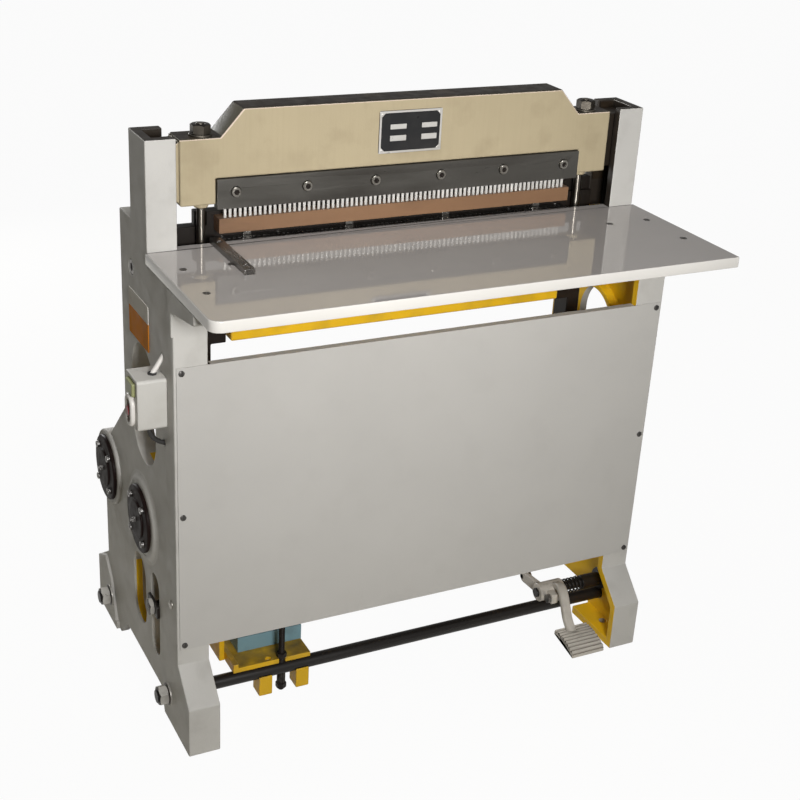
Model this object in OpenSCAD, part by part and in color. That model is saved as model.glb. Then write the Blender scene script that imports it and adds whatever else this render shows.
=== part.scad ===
// Floor-standing motor-driven punch for spiral and wire binding, in mm, +Z up.
// The frame's origin is on the floor, in the middle of the four foot bolts.
// Inside the modules y is counted from the front face of the side frames.

/* [Side frames] */
// Distance of the side frames' outer faces beyond the pull rods
side_room = 99; // [97:1:120]
// Thickness of a side frame's web
web_t = 16; // [12:1:20]
// Thickness of the flanges that edge a side frame
flange_t = 16; // [12:1:18]
// Width of the front flange
front_flange_w = 55; // [45:1:60]
// Width of the flanges of an upright
upright_flange_w = 49; // [44:1:52]
// Height of the uprights
upright_top = 1005; // [985:1:1020]
// Front face of the uprights
upright_y = 123; // [121:1:126]
// Depth of the uprights, front to back
upright_d = 85; // [83:1:95]
// Height where the upright steps out to the back edge
step_z = 860; // [850:1:880]
// Back edge of the side frame
back_y = 270; // [262:1:285]
// Height where the back edge turns out to the rear bearing
waist_z = 507; // [490:1:530]
// Height where the front face bends out to the foot
bend_z = 148; // [140:1:160]
// Reach of the front foot in front of the flange
foot_reach = 56; // [40:1:70]
// Height of the front foot's upright face
foot_h = 93; // [80:1:105]
// Back end of the front foot
front_foot_end = 80; // [72:1:95]
// Front end of the rear foot
rear_foot_y = 345; // [325:1:360]
// Back end of the rear foot
rear_foot_end = 470; // [460:1:485]
// Height of the rear foot
rear_foot_h = 104; // [90:1:115]
// Back edge above the rear foot
heel_y = 418; // [412:1:425]
// Height of the arch between the feet
arch_h = 46; // [30:1:54]
// Thickness of the soles
sole_t = 16; // [10:1:20]
// Outward swell of the rear foot and of the bearing bosses
boss_rise = 6; // [3:1:10]
// Radius of a foot bolt hole
foot_bolt_r = 7; // [5:0.5:9]
// Place of the front foot bolt
front_bolt_y = 12; // [0:1:24]
// Place of the rear foot bolt
rear_bolt_y = 413; // [400:1:425]

/* [Openings in the side frames] */
// Width of the arched window
window_w = 126; // [100:1:134]
// Height of the arched window
window_h = 210; // [180:1:225]
// Top of the arched window
window_top = 661; // [640:1:668]
// Middle of the arched window
window_y = 162; // [158:1:170]
// Depth of the window's rim, from the outer face
window_rim = 34; // [26:1:40]
// Thickness of the window's rim
rim_t = 10; // [7:1:12]
// Width of the lower hole
hole_w = 70; // [50:1:76]
// Height of the lower hole
hole_h = 138; // [100:1:142]
// Middle of the lower hole, front to back
hole_y = 210; // [206:1:222]
// Middle of the lower hole, in height
hole_z = 178; // [172:1:182]
// Width of the tension slot
slot_w = 46; // [36:1:50]
// Height of the tension slot
slot_h = 160; // [120:1:170]
// Middle of the tension slot, front to back
slot_y = 121; // [116:1:126]
// Middle of the tension slot, in height
slot_z = 176; // [165:1:185]

/* [Table and panel] */
// Height of the table's top
table_z = 830; // [815:1:840]
// Thickness of the table
table_t = 18; // [12:1:22]
// Reach of the table in front of the side frames
table_reach = 181; // [150:1:210]
// Overhang of the table beyond the side frames
table_over = 3; // [0:1:8]
// Corner radius of the table
table_r = 18; // [8:1:30]
// Radius of a table screw
table_screw_r = 6; // [4:0.5:8]
// Depth of a table screw's head
table_screw_h = 4; // [3:0.5:6]
// Width of the side guide
guide_w = 17; // [12:1:20]
// Height of the side guide
guide_h = 9; // [6:0.5:12]
// Length of the side guide
guide_l = 158; // [120:1:165]
// Top of the front panel
panel_top = 687; // [660:1:700]
// Bottom of the front panel
panel_bottom = 178; // [165:1:200]
// Margin of the panel from the frames' outer faces
panel_margin = 4; // [2:1:8]
// Thickness of the panel
panel_t = 2; // [1.5:0.5:3]
// Depth of the panel's folded edges
panel_fold = 12; // [8:1:16]
// Radius of a panel screw
panel_screw_r = 5; // [4:0.5:6]

/* [Ram and punches] */
// Reach of the ram's face beyond the pull rods
ram_out = 40; // [28:1:44]
// Front face of the ram
ram_y = 137; // [135:1:138]
// Thickness of the ram
ram_d = 53; // [50:1:56]
// Bottom of the ram
ram_z = 893; // [892:1:898]
// Height of the ram's shoulders above its bottom
shoulder_h = 106; // [97:1:110]
// Height of the ram's top above its shoulders
crown_h = 43; // [36:1:57]
// Run of the ram's slopes
slope_run = 38; // [25:1:55]
// Room between the ram's slopes and the pull rods
slope_gap = 26; // [20:1:36]
// Thickness of the ram's guided ends
tongue_d = 46; // [40:1:46]
// Stroke of the ram
stroke = 18; // [12:1:18]
// Reach of the punch retainer beyond the die
retainer_over = 7; // [-3:1:10]
// Height of the punch retainer
retainer_h = 48; // [44:1:52]
// Bottom of the punch retainer
retainer_z = 885; // [884.5:0.5:890]
// Thickness of the punch retainer
retainer_t = 16; // [14:1:17]
// Depth of the retainer's seat in the ram
seat_depth = 13; // [10:1:14]
// Least room between the last punch and the die's end
punch_room = 7.3; // [5:0.1:9]
// Pitch of the punches
punch_pitch = 8.467; // [8:0.001:8.5]
// Width of a punch
punch_w = 4; // [3:0.1:4.5]
// Depth of a punch
punch_d = 4; // [3:0.1:4.5]
// Tip of the punches with the ram up
punch_tip = 845; // [844:0.5:848]
// Distance of the last retainer screw from the retainer's end
retainer_screw_in = 30.75; // [20:0.25:60]
// Radius of a retainer screw's head
cap_r = 8; // [5:0.5:9]

/* [Die, stripper and rail] */
// Half length of the die and stripper
die_half = 325; // [320:1:330]
// Front face of the die and stripper
die_y = 143; // [142:0.5:145]
// Depth of the die and stripper
die_d = 28; // [24:1:30]
// Bottom of the stripper
stripper_z = 842; // [839:0.5:843.5]
// Thickness of the stripper
stripper_t = 24; // [18:0.5:24]
// Reach of the rear rail beyond the pull rods
rail_out = 41; // [29:1:46]
// Depth of the rear rail
rail_d = 22; // [18:1:24]
// Rise of the rear rail above the stripper's top
rail_rise = -17; // [-20:0.5:-8]
// Spacing of the back stops
stop_pitch = 181; // [150:1:190]
// Distance of the bed's ends inside the die's ends
bed_in = 13; // [9:1:20]
// Front face of the bed
bed_y = 125; // [124:0.5:128]
// Depth of the bed
bed_d = 104; // [98:1:112]
// Height of the bed
bed_h = 148; // [120:1:150]
// Wall of the bed
bed_wall = 16; // [12:1:20]

/* [Drive] */
// Crankshaft, front to back
crank_y = 176; // [173:0.5:179]
// Crankshaft and countershaft, in height
shaft_z = 338; // [330:1:345]
// Radius of the crankshaft
crank_r = 25; // [20:0.5:28]
// Radius of the countershaft
counter_r = 20; // [16:0.5:22]
// Outer radius of the crankshaft's bushes
crank_bush_r = 35; // [32:0.5:40]
// Outer radius of the countershaft's bushes
counter_bush_r = 29; // [26:0.5:33]
// Radius of the bearing caps
cap_disc_r = 60; // [56:1:62]
// Thickness of the bearing caps
cap_disc_t = 6; // [5:0.5:10]
// Radius of the bosses under the caps
boss_r = 66; // [64:0.5:70]
// Radius of the inner bosses
inner_boss_r = 56; // [50:1:60]
// Length of the bosses inside the frames
inner_boss_l = 24; // [16:1:30]
// Radius of the eccentrics
ecc_r = 45; // [42:0.5:46]
// Width of the eccentrics
ecc_w = 40; // [30:1:44]
// Distance of the pull rods beyond the die
rod_out = 26; // [24:0.5:28]
// Pull rods, front to back
rod_y = 158; // [157:0.5:159]
// Radius of the pull rods
rod_r = 7; // [6:0.5:8]
// Width of the yoke bars
bar_w = 52; // [46:1:53]
// Depth of the yoke bars
bar_d = 42; // [36:1:44]
// Top of the yoke bars
bar_top = 790; // [770:1:800]
// Wall of the yokes
yoke_wall = 16; // [13:0.5:17]
// Thickness of the yokes along the shaft
yoke_t = 46; // [42:1:50]
// Gear module
gear_m = 5; // [4.9:0.05:5.1]
// Teeth of the main gear
gear_n = 66; // [66:1:67]
// Teeth of the pinion
pinion_n = 15; // [14:1:15]
// Face width of the main gear
gear_w = 36; // [28:1:40]
// Distance of the main gear's middle from the right pull rod
gear_in = 105; // [102:1:111]
// Radius of the flywheel
fly_r = 110; // [100:1:116]
// Middle of the flywheel
fly_x = -140; // [-146:1:-130]
// Width of the flywheel and motor pulley
fly_w = 46; // [40:1:50]
// Radius of the motor pulley
pulley_r = 36; // [32:1:40]
// Width of a belt
belt_w = 10; // [8:0.5:10]
// Height of a belt
belt_h = 8; // [6:0.5:8]
// Spacing of the two belts
belt_pitch = 18; // [16:0.5:20]

/* [Motor] */
// Motor shaft, front to back
motor_y = 150; // [144:1:156]
// Motor shaft, in height
motor_z = 180; // [174:1:184]
// Radius of the motor's body
motor_r = 60; // [54:1:62]
// Height of the motor's fins
fin_h = 7; // [4:1:8]
// Length of the motor's body
motor_l = 104; // [90:1:112]
// Drive end of the motor
motor_x = -186; // [-190:1:-180]
// Radius of the motor shaft
motor_shaft_r = 11; // [9:0.5:14]
// Width of the motor plate
plate_w = 146; // [140:1:152]
// Thickness of the motor plate
plate_t = 10; // [8:1:14]
// Front edge of the motor plate
plate_y = 48; // [46:0.5:50]
// Length of the motor plate
plate_l = 220; // [212:1:240]
// Front tie rod, front to back
tie_y = 53; // [51:0.5:55]
// Front tie rod, in height
tie_z = 56; // [54:0.5:58]
// Radius of the tie rods
tie_r = 12; // [9:0.5:13]
// Rear tie rod, front to back
rear_tie_y = 392; // [386:1:398]

/* [Pedal and clutch] */
// Pedal shaft, front to back
pedal_y = 50; // [48:0.5:52]
// Pedal shaft, in height
pedal_z = 90; // [88:0.5:92]
// Radius of the pedal shaft
pedal_r = 9; // [7:0.5:10]
// Radius of the pedal hub
hub_r = 18; // [15:0.5:19]
// Distance of the pedal hub's left end from the right pull rod
hub_in = 65; // [63:1:67]
// Length of the pedal hub
hub_l = 54; // [50:1:58]
// Width of the tread
tread_w = 69; // [60:1:90]
// Length of the tread
tread_l = 69; // [64:1:76]
// Thickness of the tread
tread_t = 9; // [7:0.5:11]
// Front edge of the tread
tread_y = -104; // [-110:1:-98]
// Top of the tread at its front edge
tread_z = 50; // [46:1:54]
// Count of the tread's ribs
rib_n = 9; // [5:1:10]
// Radius of the trip arm
trip_r = 70; // [66:1:74]
// Half angle of the pedal's travel, in degrees
pedal_half = 5; // [4:0.5:6]
// Latch pivot, front to back
latch_y = 80; // [78:0.5:82]
// Latch pivot, in height
latch_z = 290; // [286:1:294]
// Radius of the latch pivot
latch_r = 9; // [7:0.5:10]
// Radius of the latch's link arm
latch_arm = 41; // [40:0.5:43]
// Radius of the link's pins
pin_r = 5; // [4:0.25:5.5]

/* [Switch box and plates] */
// Depth of the switch box, outwards
box_d = 48; // [40:1:54]
// Front of the switch box
box_y = 31; // [26:1:36]
// Length of the switch box, front to back
box_l = 59; // [52:1:64]
// Bottom of the switch box
box_z = 574; // [570:1:580]
// Height of the switch box
box_h = 84; // [78:1:90]
// Travel of the buttons
button_travel = 4; // [2:0.5:5]
// Length of the blank label plate
label_l = 104; // [90:1:110]
// Height of the blank label plate
label_h = 78; // [60:1:84]
// Bottom of the blank label plate
label_z = 664; // [662:1:670]
// Half length of the nameplate
name_half = 57; // [45:1:65]
// Height of the nameplate
name_h = 70; // [55:1:76]
// Bottom of the nameplate
name_z = 954; // [948:1:960]

/* [Clearances] */
// Clearance between parts that move past each other
gap = 0.4; // [0.3:0.05:0.6]
// Running clearance of a shaft in its bore
run = 0.05; // [0.03:0.01:0.08]
// Clearance of a bolt in its hole
bolt_gap = 0.5; // [0.4:0.1:0.8]

/* [Hidden] */
$fn = 64;

rod_x = die_half + rod_out;
frame_half = rod_x + side_room;
web_in = frame_half - web_t;
front_in = frame_half - front_flange_w;
upright_in = frame_half - upright_flange_w;
upright_back = upright_y + upright_d;
table_low = table_z - table_t;
counter_y = crank_y + gear_m * (gear_n + pinion_n) / 2;
ecc = stroke / 2;
ram_half = rod_x + ram_out;
ram_shoulder = ram_z + shoulder_h;
ram_top = ram_shoulder + crown_h;
ram_slope_half = rod_x - slope_gap;
ram_top_half = ram_slope_half - slope_run;
retainer_half = die_half + retainer_over;
punch_n = floor((2 * (die_half - punch_room) - punch_w) / punch_pitch) + 1;
rail_half = rod_x + rail_out;
bed_half = die_half - bed_in;
gear_x = rod_x - gear_in;
hub_x = rod_x - hub_in;
bed_low = table_low - bed_h;
bed_back = bed_y + bed_d;
punch_y = ram_y + seat_depth;
punch_mid = punch_y + punch_d / 2;
die_back = die_y + die_d;
stripper_top = stripper_z + stripper_t;
rail_top = stripper_top + rail_rise;
plate_top = tie_z + tie_r + plate_t;
plate_low = tie_z + tie_r;
plate_right = motor_x - 2;
cap_x = frame_half + boss_rise;
box_x = frame_half + box_d;

// Moves a piece from the side frames' front face to the middle of the foot bolts.
module place() {
  translate([0, -(front_bolt_y + rear_bolt_y) / 2, 0]) children();
}

module both() {
  children();
  mirror([1, 0, 0]) children();
}

module block(x, y, z) {
  translate([x[0], y[0], z[0]]) cube([x[1] - x[0], y[1] - y[0], z[1] - z[0]]);
}

// Side outline in y and z, drawn out along x.
module slab(x, points) {
  translate([x[0], 0, 0]) rotate([90, 0, 90]) linear_extrude(x[1] - x[0]) polygon(points);
}

module rod(x, y, z, r) {
  translate([x[0], y, z]) rotate([0, 90, 0]) cylinder(h = x[1] - x[0], r = r);
}

module post(x, y, z, r) {
  translate([x, y, z[0]]) cylinder(h = z[1] - z[0], r = r);
}

module hex_rod(x, y, z, r) {
  translate([x[0], y, z]) rotate([0, 90, 0]) cylinder(h = x[1] - x[0], r = r, $fn = 6);
}

// Slot with round ends, upright, drawn out along x.
module obround(x, y, z, w, h) {
  rod(x, y, z - (h - w) / 2, w / 2);
  rod(x, y, z + (h - w) / 2, w / 2);
  block(x, [y - w / 2, y + w / 2], [z - (h - w) / 2, z + (h - w) / 2]);
}

// Quarter ring of tube from +X round to +Y about the origin.
module bend(r, tube) {
  rotate_extrude(angle = 90) translate([r, 0]) circle(tube);
}

// Side frames: one casting pattern, made for the right hand and mirrored for the left.

window_mid = window_top - window_h / 2;
lug_reach = 105;
lug_tip = 15;
lug_root = 35;
rib_h = 30;
rib_y = 290;

module frame_web() {
  slab([web_in, frame_half], [[0, table_low], [0, bend_z], [-foot_reach, foot_h], [-foot_reach, 0],
    [front_foot_end, 0], [front_foot_end + 16, arch_h], [rear_foot_y - arch_h, arch_h], [rear_foot_y, 0],
    [rear_foot_end, 0], [rear_foot_end, rear_foot_h], [heel_y, rear_foot_h + 34], [heel_y, shaft_z - 60],
    [counter_y, shaft_z], [counter_y, shaft_z + boss_r - 1], [back_y, waist_z], [back_y, step_z],
    [upright_back, step_z], [upright_back, upright_top], [upright_y, upright_top], [upright_y, table_low]]);
  rod([web_in, cap_x], counter_y, shaft_z, boss_r);
  rod([web_in, cap_x], crank_y, shaft_z, boss_r);
  rod([web_in - inner_boss_l, web_in], crank_y, shaft_z, inner_boss_r);
  rod([web_in - inner_boss_l, web_in], counter_y, shaft_z, inner_boss_r);
  obround([frame_half - window_rim, web_in], window_y, window_mid, window_w + 2 * rim_t,
    window_h + 2 * rim_t);
}

module frame_flanges() {
  slab([front_in, frame_half], [[0, table_low], [0, bend_z], [-foot_reach, foot_h], [-foot_reach, 0],
    [flange_t - foot_reach, 0], [flange_t - foot_reach, foot_h - flange_t / 2],
    [flange_t, bend_z - flange_t / 2], [flange_t, table_low]]);
  block([front_in, frame_half + table_over], [0, flange_t], [table_low - 75, table_low]);
  slab([web_in, frame_half + table_over], [[flange_t, table_low], [-lug_reach, table_low], [-lug_reach,
    table_low - lug_tip],
    [4 - lug_reach, table_low - lug_tip - 3], [0, table_low - lug_root], [flange_t, table_low - lug_root]]);
  block([web_in - rib_h, web_in], [rib_y, rib_y + rim_t], [arch_h, shaft_z - 58]);
  block([front_in, frame_half], [0, upright_y + flange_t], [table_low - flange_t, table_low]);
  block([front_in, frame_half], [-foot_reach, front_foot_end], [0, sole_t]);
  block([front_in, frame_half + boss_rise], [rear_foot_y + 10, rear_foot_end], [0, sole_t]);
  block([front_in, frame_half + boss_rise], [rear_foot_end - flange_t, rear_foot_end], [0, rear_foot_h]);
  slab([web_in, frame_half + boss_rise], [[rear_foot_y + 10, 0], [rear_foot_end, 0], [rear_foot_end,
    rear_foot_h],
    [heel_y + 6, rear_foot_h + 22], [heel_y - 26, rear_foot_h - 10]]);
  block([upright_in, frame_half], [upright_y, upright_y + flange_t], [table_low, upright_top]);
  block([upright_in, frame_half], [upright_back - flange_t, upright_back], [table_low, upright_top]);
  block([upright_in, frame_half], [back_y - flange_t, back_y], [waist_z, step_z]);
  block([upright_in, frame_half], [upright_back - flange_t, back_y], [step_z - flange_t, step_z]);
}

module side_frame() {
  difference() {
    union() {
      frame_web();
      frame_flanges();
    }
    obround([frame_half - window_rim - 1, frame_half + 1], window_y, window_mid, window_w, window_h);
    obround([web_in - 1, frame_half + 1], hole_y, hole_z, hole_w, hole_h);
    obround([web_in - 1, frame_half + 1], slot_y, slot_z, slot_w, slot_h);
    rod([web_in - inner_boss_l - 1, cap_x + 1], crank_y, shaft_z, crank_bush_r);
    rod([web_in - inner_boss_l - 1, cap_x + 1], counter_y, shaft_z, counter_bush_r);
    rod([web_in - 1, frame_half + boss_rise + 1], tie_y, tie_z, tie_r + bolt_gap);
    rod([web_in - 1, frame_half + boss_rise + 1], rear_tie_y, tie_z, tie_r + bolt_gap);
    for (z = bed_bolt_z) {
      rod([web_in - 1, frame_half + 1], bed_bolt_y, z, bed_bolt_r + bolt_gap);
      rod([frame_half - bed_head_h - 0.5, frame_half + 1], bed_bolt_y, z, bed_head_r + bolt_gap);
    }
    for (y = [front_bolt_y, rear_bolt_y]) post(frame_half - front_flange_w / 2, y, [-1, sole_t + 1],
      foot_bolt_r);
  }
}

module left_frame() {
  color("lightgrey") place() difference() {
    mirror([1, 0, 0]) side_frame();
    rod([-frame_half - 1, 1 - web_in], cable_y, cable_z, cable_r + cable_room);
    conduit_way() post(0, 0, [conduit_run / 2, conduit_run + 0.5], conduit_r + bolt_gap);
  }
}

module right_frame() {
  color("lightgrey") place() difference() {
    side_frame();
    rod([web_in - 1, frame_half + 1], pedal_y, pedal_z, bearing_r);
    rod([web_in - 1, frame_half + 1], latch_y, latch_z, latch_r);
  }
}

// Bed: a hollow casting under the die, with ears that reach behind the yoke bars to the side frames.

bed_bolt_r = 8;
bed_head_r = 13;
bed_head_h = 9;
bed_bolt_l = 24;
bed_ear_t = 34;
bed_bolt_y = bed_back - bed_ear_t / 2;
bed_bolt_z = [bed_low + 30, table_low - 34];
chip_slot_d = 12;

module bed_beam() {
  color("gold") place() difference() {
    union() {
      block([-bed_half, bed_half], [bed_y, bed_back], [bed_low, table_low]);
      block([-web_in, web_in], [bed_back - bed_ear_t, bed_back], [bed_low, table_low]);
    }
    block([bed_wall - bed_half, bed_half - bed_wall], [bed_y + bed_wall, bed_back - bed_ear_t],
      [bed_low - 1, table_low - bed_wall]);
    block([-punch_n * punch_pitch / 2, punch_n * punch_pitch / 2],
      [punch_mid - chip_slot_d / 2, punch_mid + chip_slot_d / 2], [table_low - bed_wall - 1,
        table_low + 1]);
    for (z = bed_bolt_z) rod([-web_in - 1, web_in + 1], bed_bolt_y, z, bed_bolt_r);
  }
}

module bed_bolts() {
  color("dimgrey") place() both() for (z = bed_bolt_z) difference() {
    union() {
      rod([web_in - bed_bolt_l, frame_half - 0.5], bed_bolt_y, z, bed_bolt_r);
      rod([frame_half - bed_head_h, frame_half - 0.5], bed_bolt_y, z, bed_head_r);
    }
    hex_rod([frame_half - 5, frame_half], bed_bolt_y, z, bed_head_r * 0.55);
  }
}

// Table: a plate on the frames' pads and the bed, cut back to the die between the uprights.

table_half = frame_half + table_over;
table_screw_x = [frame_half - 29, frame_half - 106];
table_screw_y = [36, -70];
die_fit = 0.3;

module table_screw_places() {
  both() {
    for (y = table_screw_y) translate([table_screw_x[0], y, 0]) children();
    translate([table_screw_x[1], table_screw_y[0], 0]) children();
  }
}

module work_table() {
  color("gainsboro") place() difference() {
    union() {
      block([-table_half, table_half], [table_r - table_reach, upright_y - die_fit], [table_low, table_z]);
      block([table_r - table_half, table_half], [-table_reach, upright_y - die_fit], [table_low, table_z]);
      post(table_r - table_half, table_r - table_reach, [table_low, table_z], table_r);
      block([1 - upright_in, upright_in - 1], [0, die_y - die_fit], [table_low, table_z]);
    }
    table_screw_places() post(0, 0, [table_z - table_screw_h, table_z + 1], table_screw_r);
    for (y = guide_screw_y) post(guide_mid, y, [table_low - 1, table_z + 1], guide_screw_r);
  }
}

module slotted_head(r, h) {
  difference() {
    cylinder(h = h, r = r);
    translate([-r - 1, -r * 0.12, h - 1.2]) cube([2 * r + 2, r * 0.24, 2]);
  }
}

module table_screws() {
  color("grey") place() {
    table_screw_places() translate([0, 0, table_z - table_screw_h]) slotted_head(table_screw_r,
      table_screw_h);
    for (y = guide_screw_y) {
      post(guide_mid, y, [table_low + 1, table_z + guide_h - 3], guide_screw_r);
      translate([guide_mid, y, table_z + guide_h - 3]) slotted_head(guide_screw_r + 2, 3);
    }
  }
}

guide_mid = -die_half - 1 - guide_w / 2;
guide_back = die_y - 2;
guide_screw_r = 3;
guide_screw_y = [guide_back - guide_l + 18, guide_back - 24];

module side_guide() {
  color("silver") place() difference() {
    block([guide_mid - guide_w / 2, guide_mid + guide_w / 2], [guide_back - guide_l, guide_back],
      [table_z, table_z + guide_h]);
    for (y = guide_screw_y) {
      post(guide_mid, y, [table_z - 1, table_z + guide_h + 1], guide_screw_r);
      post(guide_mid, y, [table_z + guide_h - 3, table_z + guide_h + 1], guide_screw_r + 2);
    }
  }
}

// Front panel: a folded sheet on the front flanges, held by screws near its corners and half way up.

panel_screw_x = frame_half - 12;
panel_screw_z = [panel_top - 9, (panel_top + panel_bottom) / 2 - 4, panel_bottom + 9];
fold_half = front_in - 4;

module front_panel() {
  color("darkgrey") place() difference() {
    union() {
      block([panel_margin - frame_half, frame_half - panel_margin], [-panel_t, 0], [panel_bottom,
        panel_top]);
      block([-fold_half, fold_half], [-panel_t, panel_fold], [panel_top - panel_t, panel_top]);
      block([-fold_half, fold_half], [-panel_t, panel_fold], [panel_bottom, panel_bottom + panel_t]);
    }
    both() for (z = panel_screw_z) translate([panel_screw_x, 1, z]) rotate([90, 0, 0])
      cylinder(h = panel_t + 2, r = panel_screw_r * 0.6);
  }
}

module panel_screws() {
  color("dimgrey") place() both() for (z = panel_screw_z) translate([panel_screw_x, 0, z]) rotate([90,
    0, 0])
    difference() {
      union() {
        cylinder(h = panel_t, r = panel_screw_r * 0.6);
        translate([0, 0, panel_t]) cylinder(h = 2.4, r = panel_screw_r);
      }
      translate([-panel_screw_r - 1, -0.6, panel_t + 1.4]) cube([2 * panel_screw_r + 2, 1.2, 2]);
    }
}

// Tie rods between the feet, with a washer and a nut on each end.

nut_r = tie_r * 1.5;
nut_t = tie_r * 1.3;
washer_t = 4;
rear_face = frame_half + boss_rise;

module tie_rods() {
  color("dimgrey") place() {
    difference() {
      rod([-frame_half - washer_t - nut_t - 3, frame_half + washer_t + nut_t + 3], tie_y, tie_z, tie_r);
      post(clamp_mid, tie_y, [0, plate_top], clamp_bolt_r + bolt_gap);
    }
    rod([-rear_face - washer_t - nut_t - 3, rear_face + washer_t + nut_t + 3], rear_tie_y, tie_z, tie_r);
  }
}

module tie_nut(face, y) {
  difference() {
    union() {
      rod([face, face + washer_t], y, tie_z, nut_r + 2);
      hex_rod([face + washer_t, face + washer_t + nut_t], y, tie_z, nut_r);
    }
    rod([face - 1, face + washer_t + nut_t + 1], y, tie_z, tie_r);
  }
}

module tie_rod_nuts() {
  color("silver") place() both() {
    tie_nut(frame_half, tie_y);
    tie_nut(rear_face, rear_tie_y);
  }
}

// Ram: a beam with sloped shoulders, whose narrow ends run between brass strips in the uprights.

ram_back = ram_y + ram_d;
tongue_mid = upright_y + upright_d / 2;
tongue_end = web_in - 3;
channel = [upright_y + flange_t, upright_back - flange_t];
shoulder_boss_r = 12;
retainer_top = retainer_z + retainer_h;
retainer_screw_z = retainer_z + retainer_h * 0.56;
retainer_screw_n = 6;
retainer_screw_pitch = 2 * (retainer_half - retainer_screw_in) / (retainer_screw_n - 1);

function retainer_screw_x(i) = (i - (retainer_screw_n - 1) / 2) * retainer_screw_pitch;

module ram_beam() {
  color("wheat") place() difference() {
    union() {
      translate([0, ram_back, 0]) rotate([90, 0, 0]) linear_extrude(ram_d)
        polygon([[-ram_half, ram_z], [ram_half, ram_z], [ram_half, ram_shoulder], [ram_slope_half,
          ram_shoulder],
          [ram_top_half, ram_top], [-ram_top_half, ram_top], [-ram_slope_half, ram_shoulder],
          [-ram_half, ram_shoulder]]);
      block([-tongue_end, tongue_end], [tongue_mid - tongue_d / 2, tongue_mid + tongue_d / 2],
        [ram_z + 6, ram_shoulder - 6]);
      both() post(rod_x, rod_y, [ram_z - 8, ram_z + 1], shoulder_boss_r);
    }
    block([-retainer_half - 1, retainer_half + 1], [ram_y - 1, ram_y + seat_depth], [ram_z - 1,
      retainer_top + 1]);
    block([-punch_n * punch_pitch / 2 - 2, punch_n * punch_pitch / 2 + 2],
      [punch_y - 1, punch_y + punch_d + die_fit], [ram_z - 1, punch_head_z + punch_head_h + 1]);
    both() post(rod_x, rod_y, [ram_z - 9, ram_shoulder + 1], rod_r + bolt_gap);
    for (i = [0 : retainer_screw_n - 1]) translate([retainer_screw_x(i), ram_y + seat_depth - 1,
      retainer_screw_z])
      rotate([-90, 0, 0]) cylinder(h = 24, r = cap_r * 0.6);
  }
}

module guide_strips() {
  color("goldenrod") place() both() {
    block([upright_in + 4, web_in - 2], [channel[0], tongue_mid - tongue_d / 2 - gap], [step_z + 2,
      upright_top - 2]);
    block([upright_in + 4, web_in - 2], [tongue_mid + tongue_d / 2 + gap, channel[1]], [step_z + 2,
      upright_top - 2]);
  }
}

name_t = 1.5;
rivet_r = 2;

module nameplate() {
  color("black") place() {
    block([-name_half, name_half], [ram_y - name_t, ram_y], [name_z, name_z + name_h]);
    both() for (z = [name_z + 5, name_z + name_h - 5]) translate([name_half - 5, ram_y - name_t, z])
      rotate([90, 0, 0]) cylinder(h = 1, r = rivet_r);
  }
}

// Punches: square steel pins with heads, held behind the retainer and guided by the stripper.

retainer_y = ram_y + seat_depth - retainer_t;
punch_head_h = 5;
punch_head_z = retainer_z + 14;

function punch_x(i) = (i - (punch_n - 1) / 2) * punch_pitch;

module punch_retainer() {
  color("slategrey") place() difference() {
    block([-retainer_half, retainer_half], [retainer_y, ram_y + seat_depth], [retainer_z, retainer_top]);
    for (i = [0 : retainer_screw_n - 1]) translate([retainer_screw_x(i), ram_y + seat_depth + 1,
      retainer_screw_z])
      rotate([90, 0, 0]) {
        cylinder(h = retainer_t + 2, r = cap_r * 0.6);
        translate([0, 0, retainer_t - 3]) cylinder(h = 10, r = cap_r + bolt_gap);
      }
  }
}

module retainer_screws() {
  color("silver") place() for (i = [0 : retainer_screw_n - 1])
    translate([retainer_screw_x(i), ram_y + seat_depth + 18, retainer_screw_z]) rotate([90, 0, 0])
      difference() {
      union() {
        cylinder(h = 18 + retainer_t - 4, r = cap_r * 0.6);
        translate([0, 0, 18 + retainer_t - 4]) cylinder(h = cap_r, r = cap_r);
      }
      translate([0, 0, 18 + retainer_t - 4 + cap_r * 0.5]) cylinder(h = cap_r, r = cap_r * 0.55, $fn = 6);
    }
}

module punches() {
  color("whitesmoke") place() for (i = [0 : punch_n - 1]) {
    block([punch_x(i) - punch_w / 2, punch_x(i) + punch_w / 2], [punch_y, punch_y + punch_d],
      [punch_tip, punch_head_z + punch_head_h]);
    block([punch_x(i) - punch_w / 2 - 1, punch_x(i) + punch_w / 2 + 1], [punch_y, punch_y + punch_d],
      [punch_head_z, punch_head_z + punch_head_h]);
  }
}

module punch_holes(z, room) {
  for (i = [0 : punch_n - 1]) block([punch_x(i) - punch_w / 2 - room, punch_x(i) + punch_w / 2 + room],
    [punch_y - room, punch_y + punch_d + room], z);
}

// Die and stripper: two bars with the same row of holes, with the throat for the paper between them.

die_screw_in = [12, 108];
die_screw_x = [die_half - die_screw_in[0], die_half - die_screw_in[1]];
die_screw_r = 5;

module die_plate() {
  color("dimgrey") place() difference() {
    block([-die_half, die_half], [die_y, die_back], [table_low, table_z]);
    punch_holes([table_low - 1, table_z + 1], gap);
    both() for (x = die_screw_x) post(x, die_back - 8, [table_low - 1, table_z + 1], die_screw_r);
  }
}

module die_screws() {
  color("silver") place() both() for (x = die_screw_x) difference() {
    post(x, die_back - 8, [table_low, table_z - 0.5], die_screw_r);
    translate([x, die_back - 8, table_z - 3.5]) cylinder(h = 4, r = die_screw_r * 0.5, $fn = 6);
  }
}

module stripper_plate() {
  color("peru") place() difference() {
    block([-die_half, die_half], [die_y + 2, die_back], [stripper_z, stripper_top]);
    punch_holes([stripper_z - 1, stripper_top + 1], gap);
  }
}

// Rear rail: carries the stripper, and its raised middle closes the back of the gap over it.
guard_top = ram_z - stroke - 3;
guard_in = 14;
guard_out = 4;
guard_step = 6;

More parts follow.
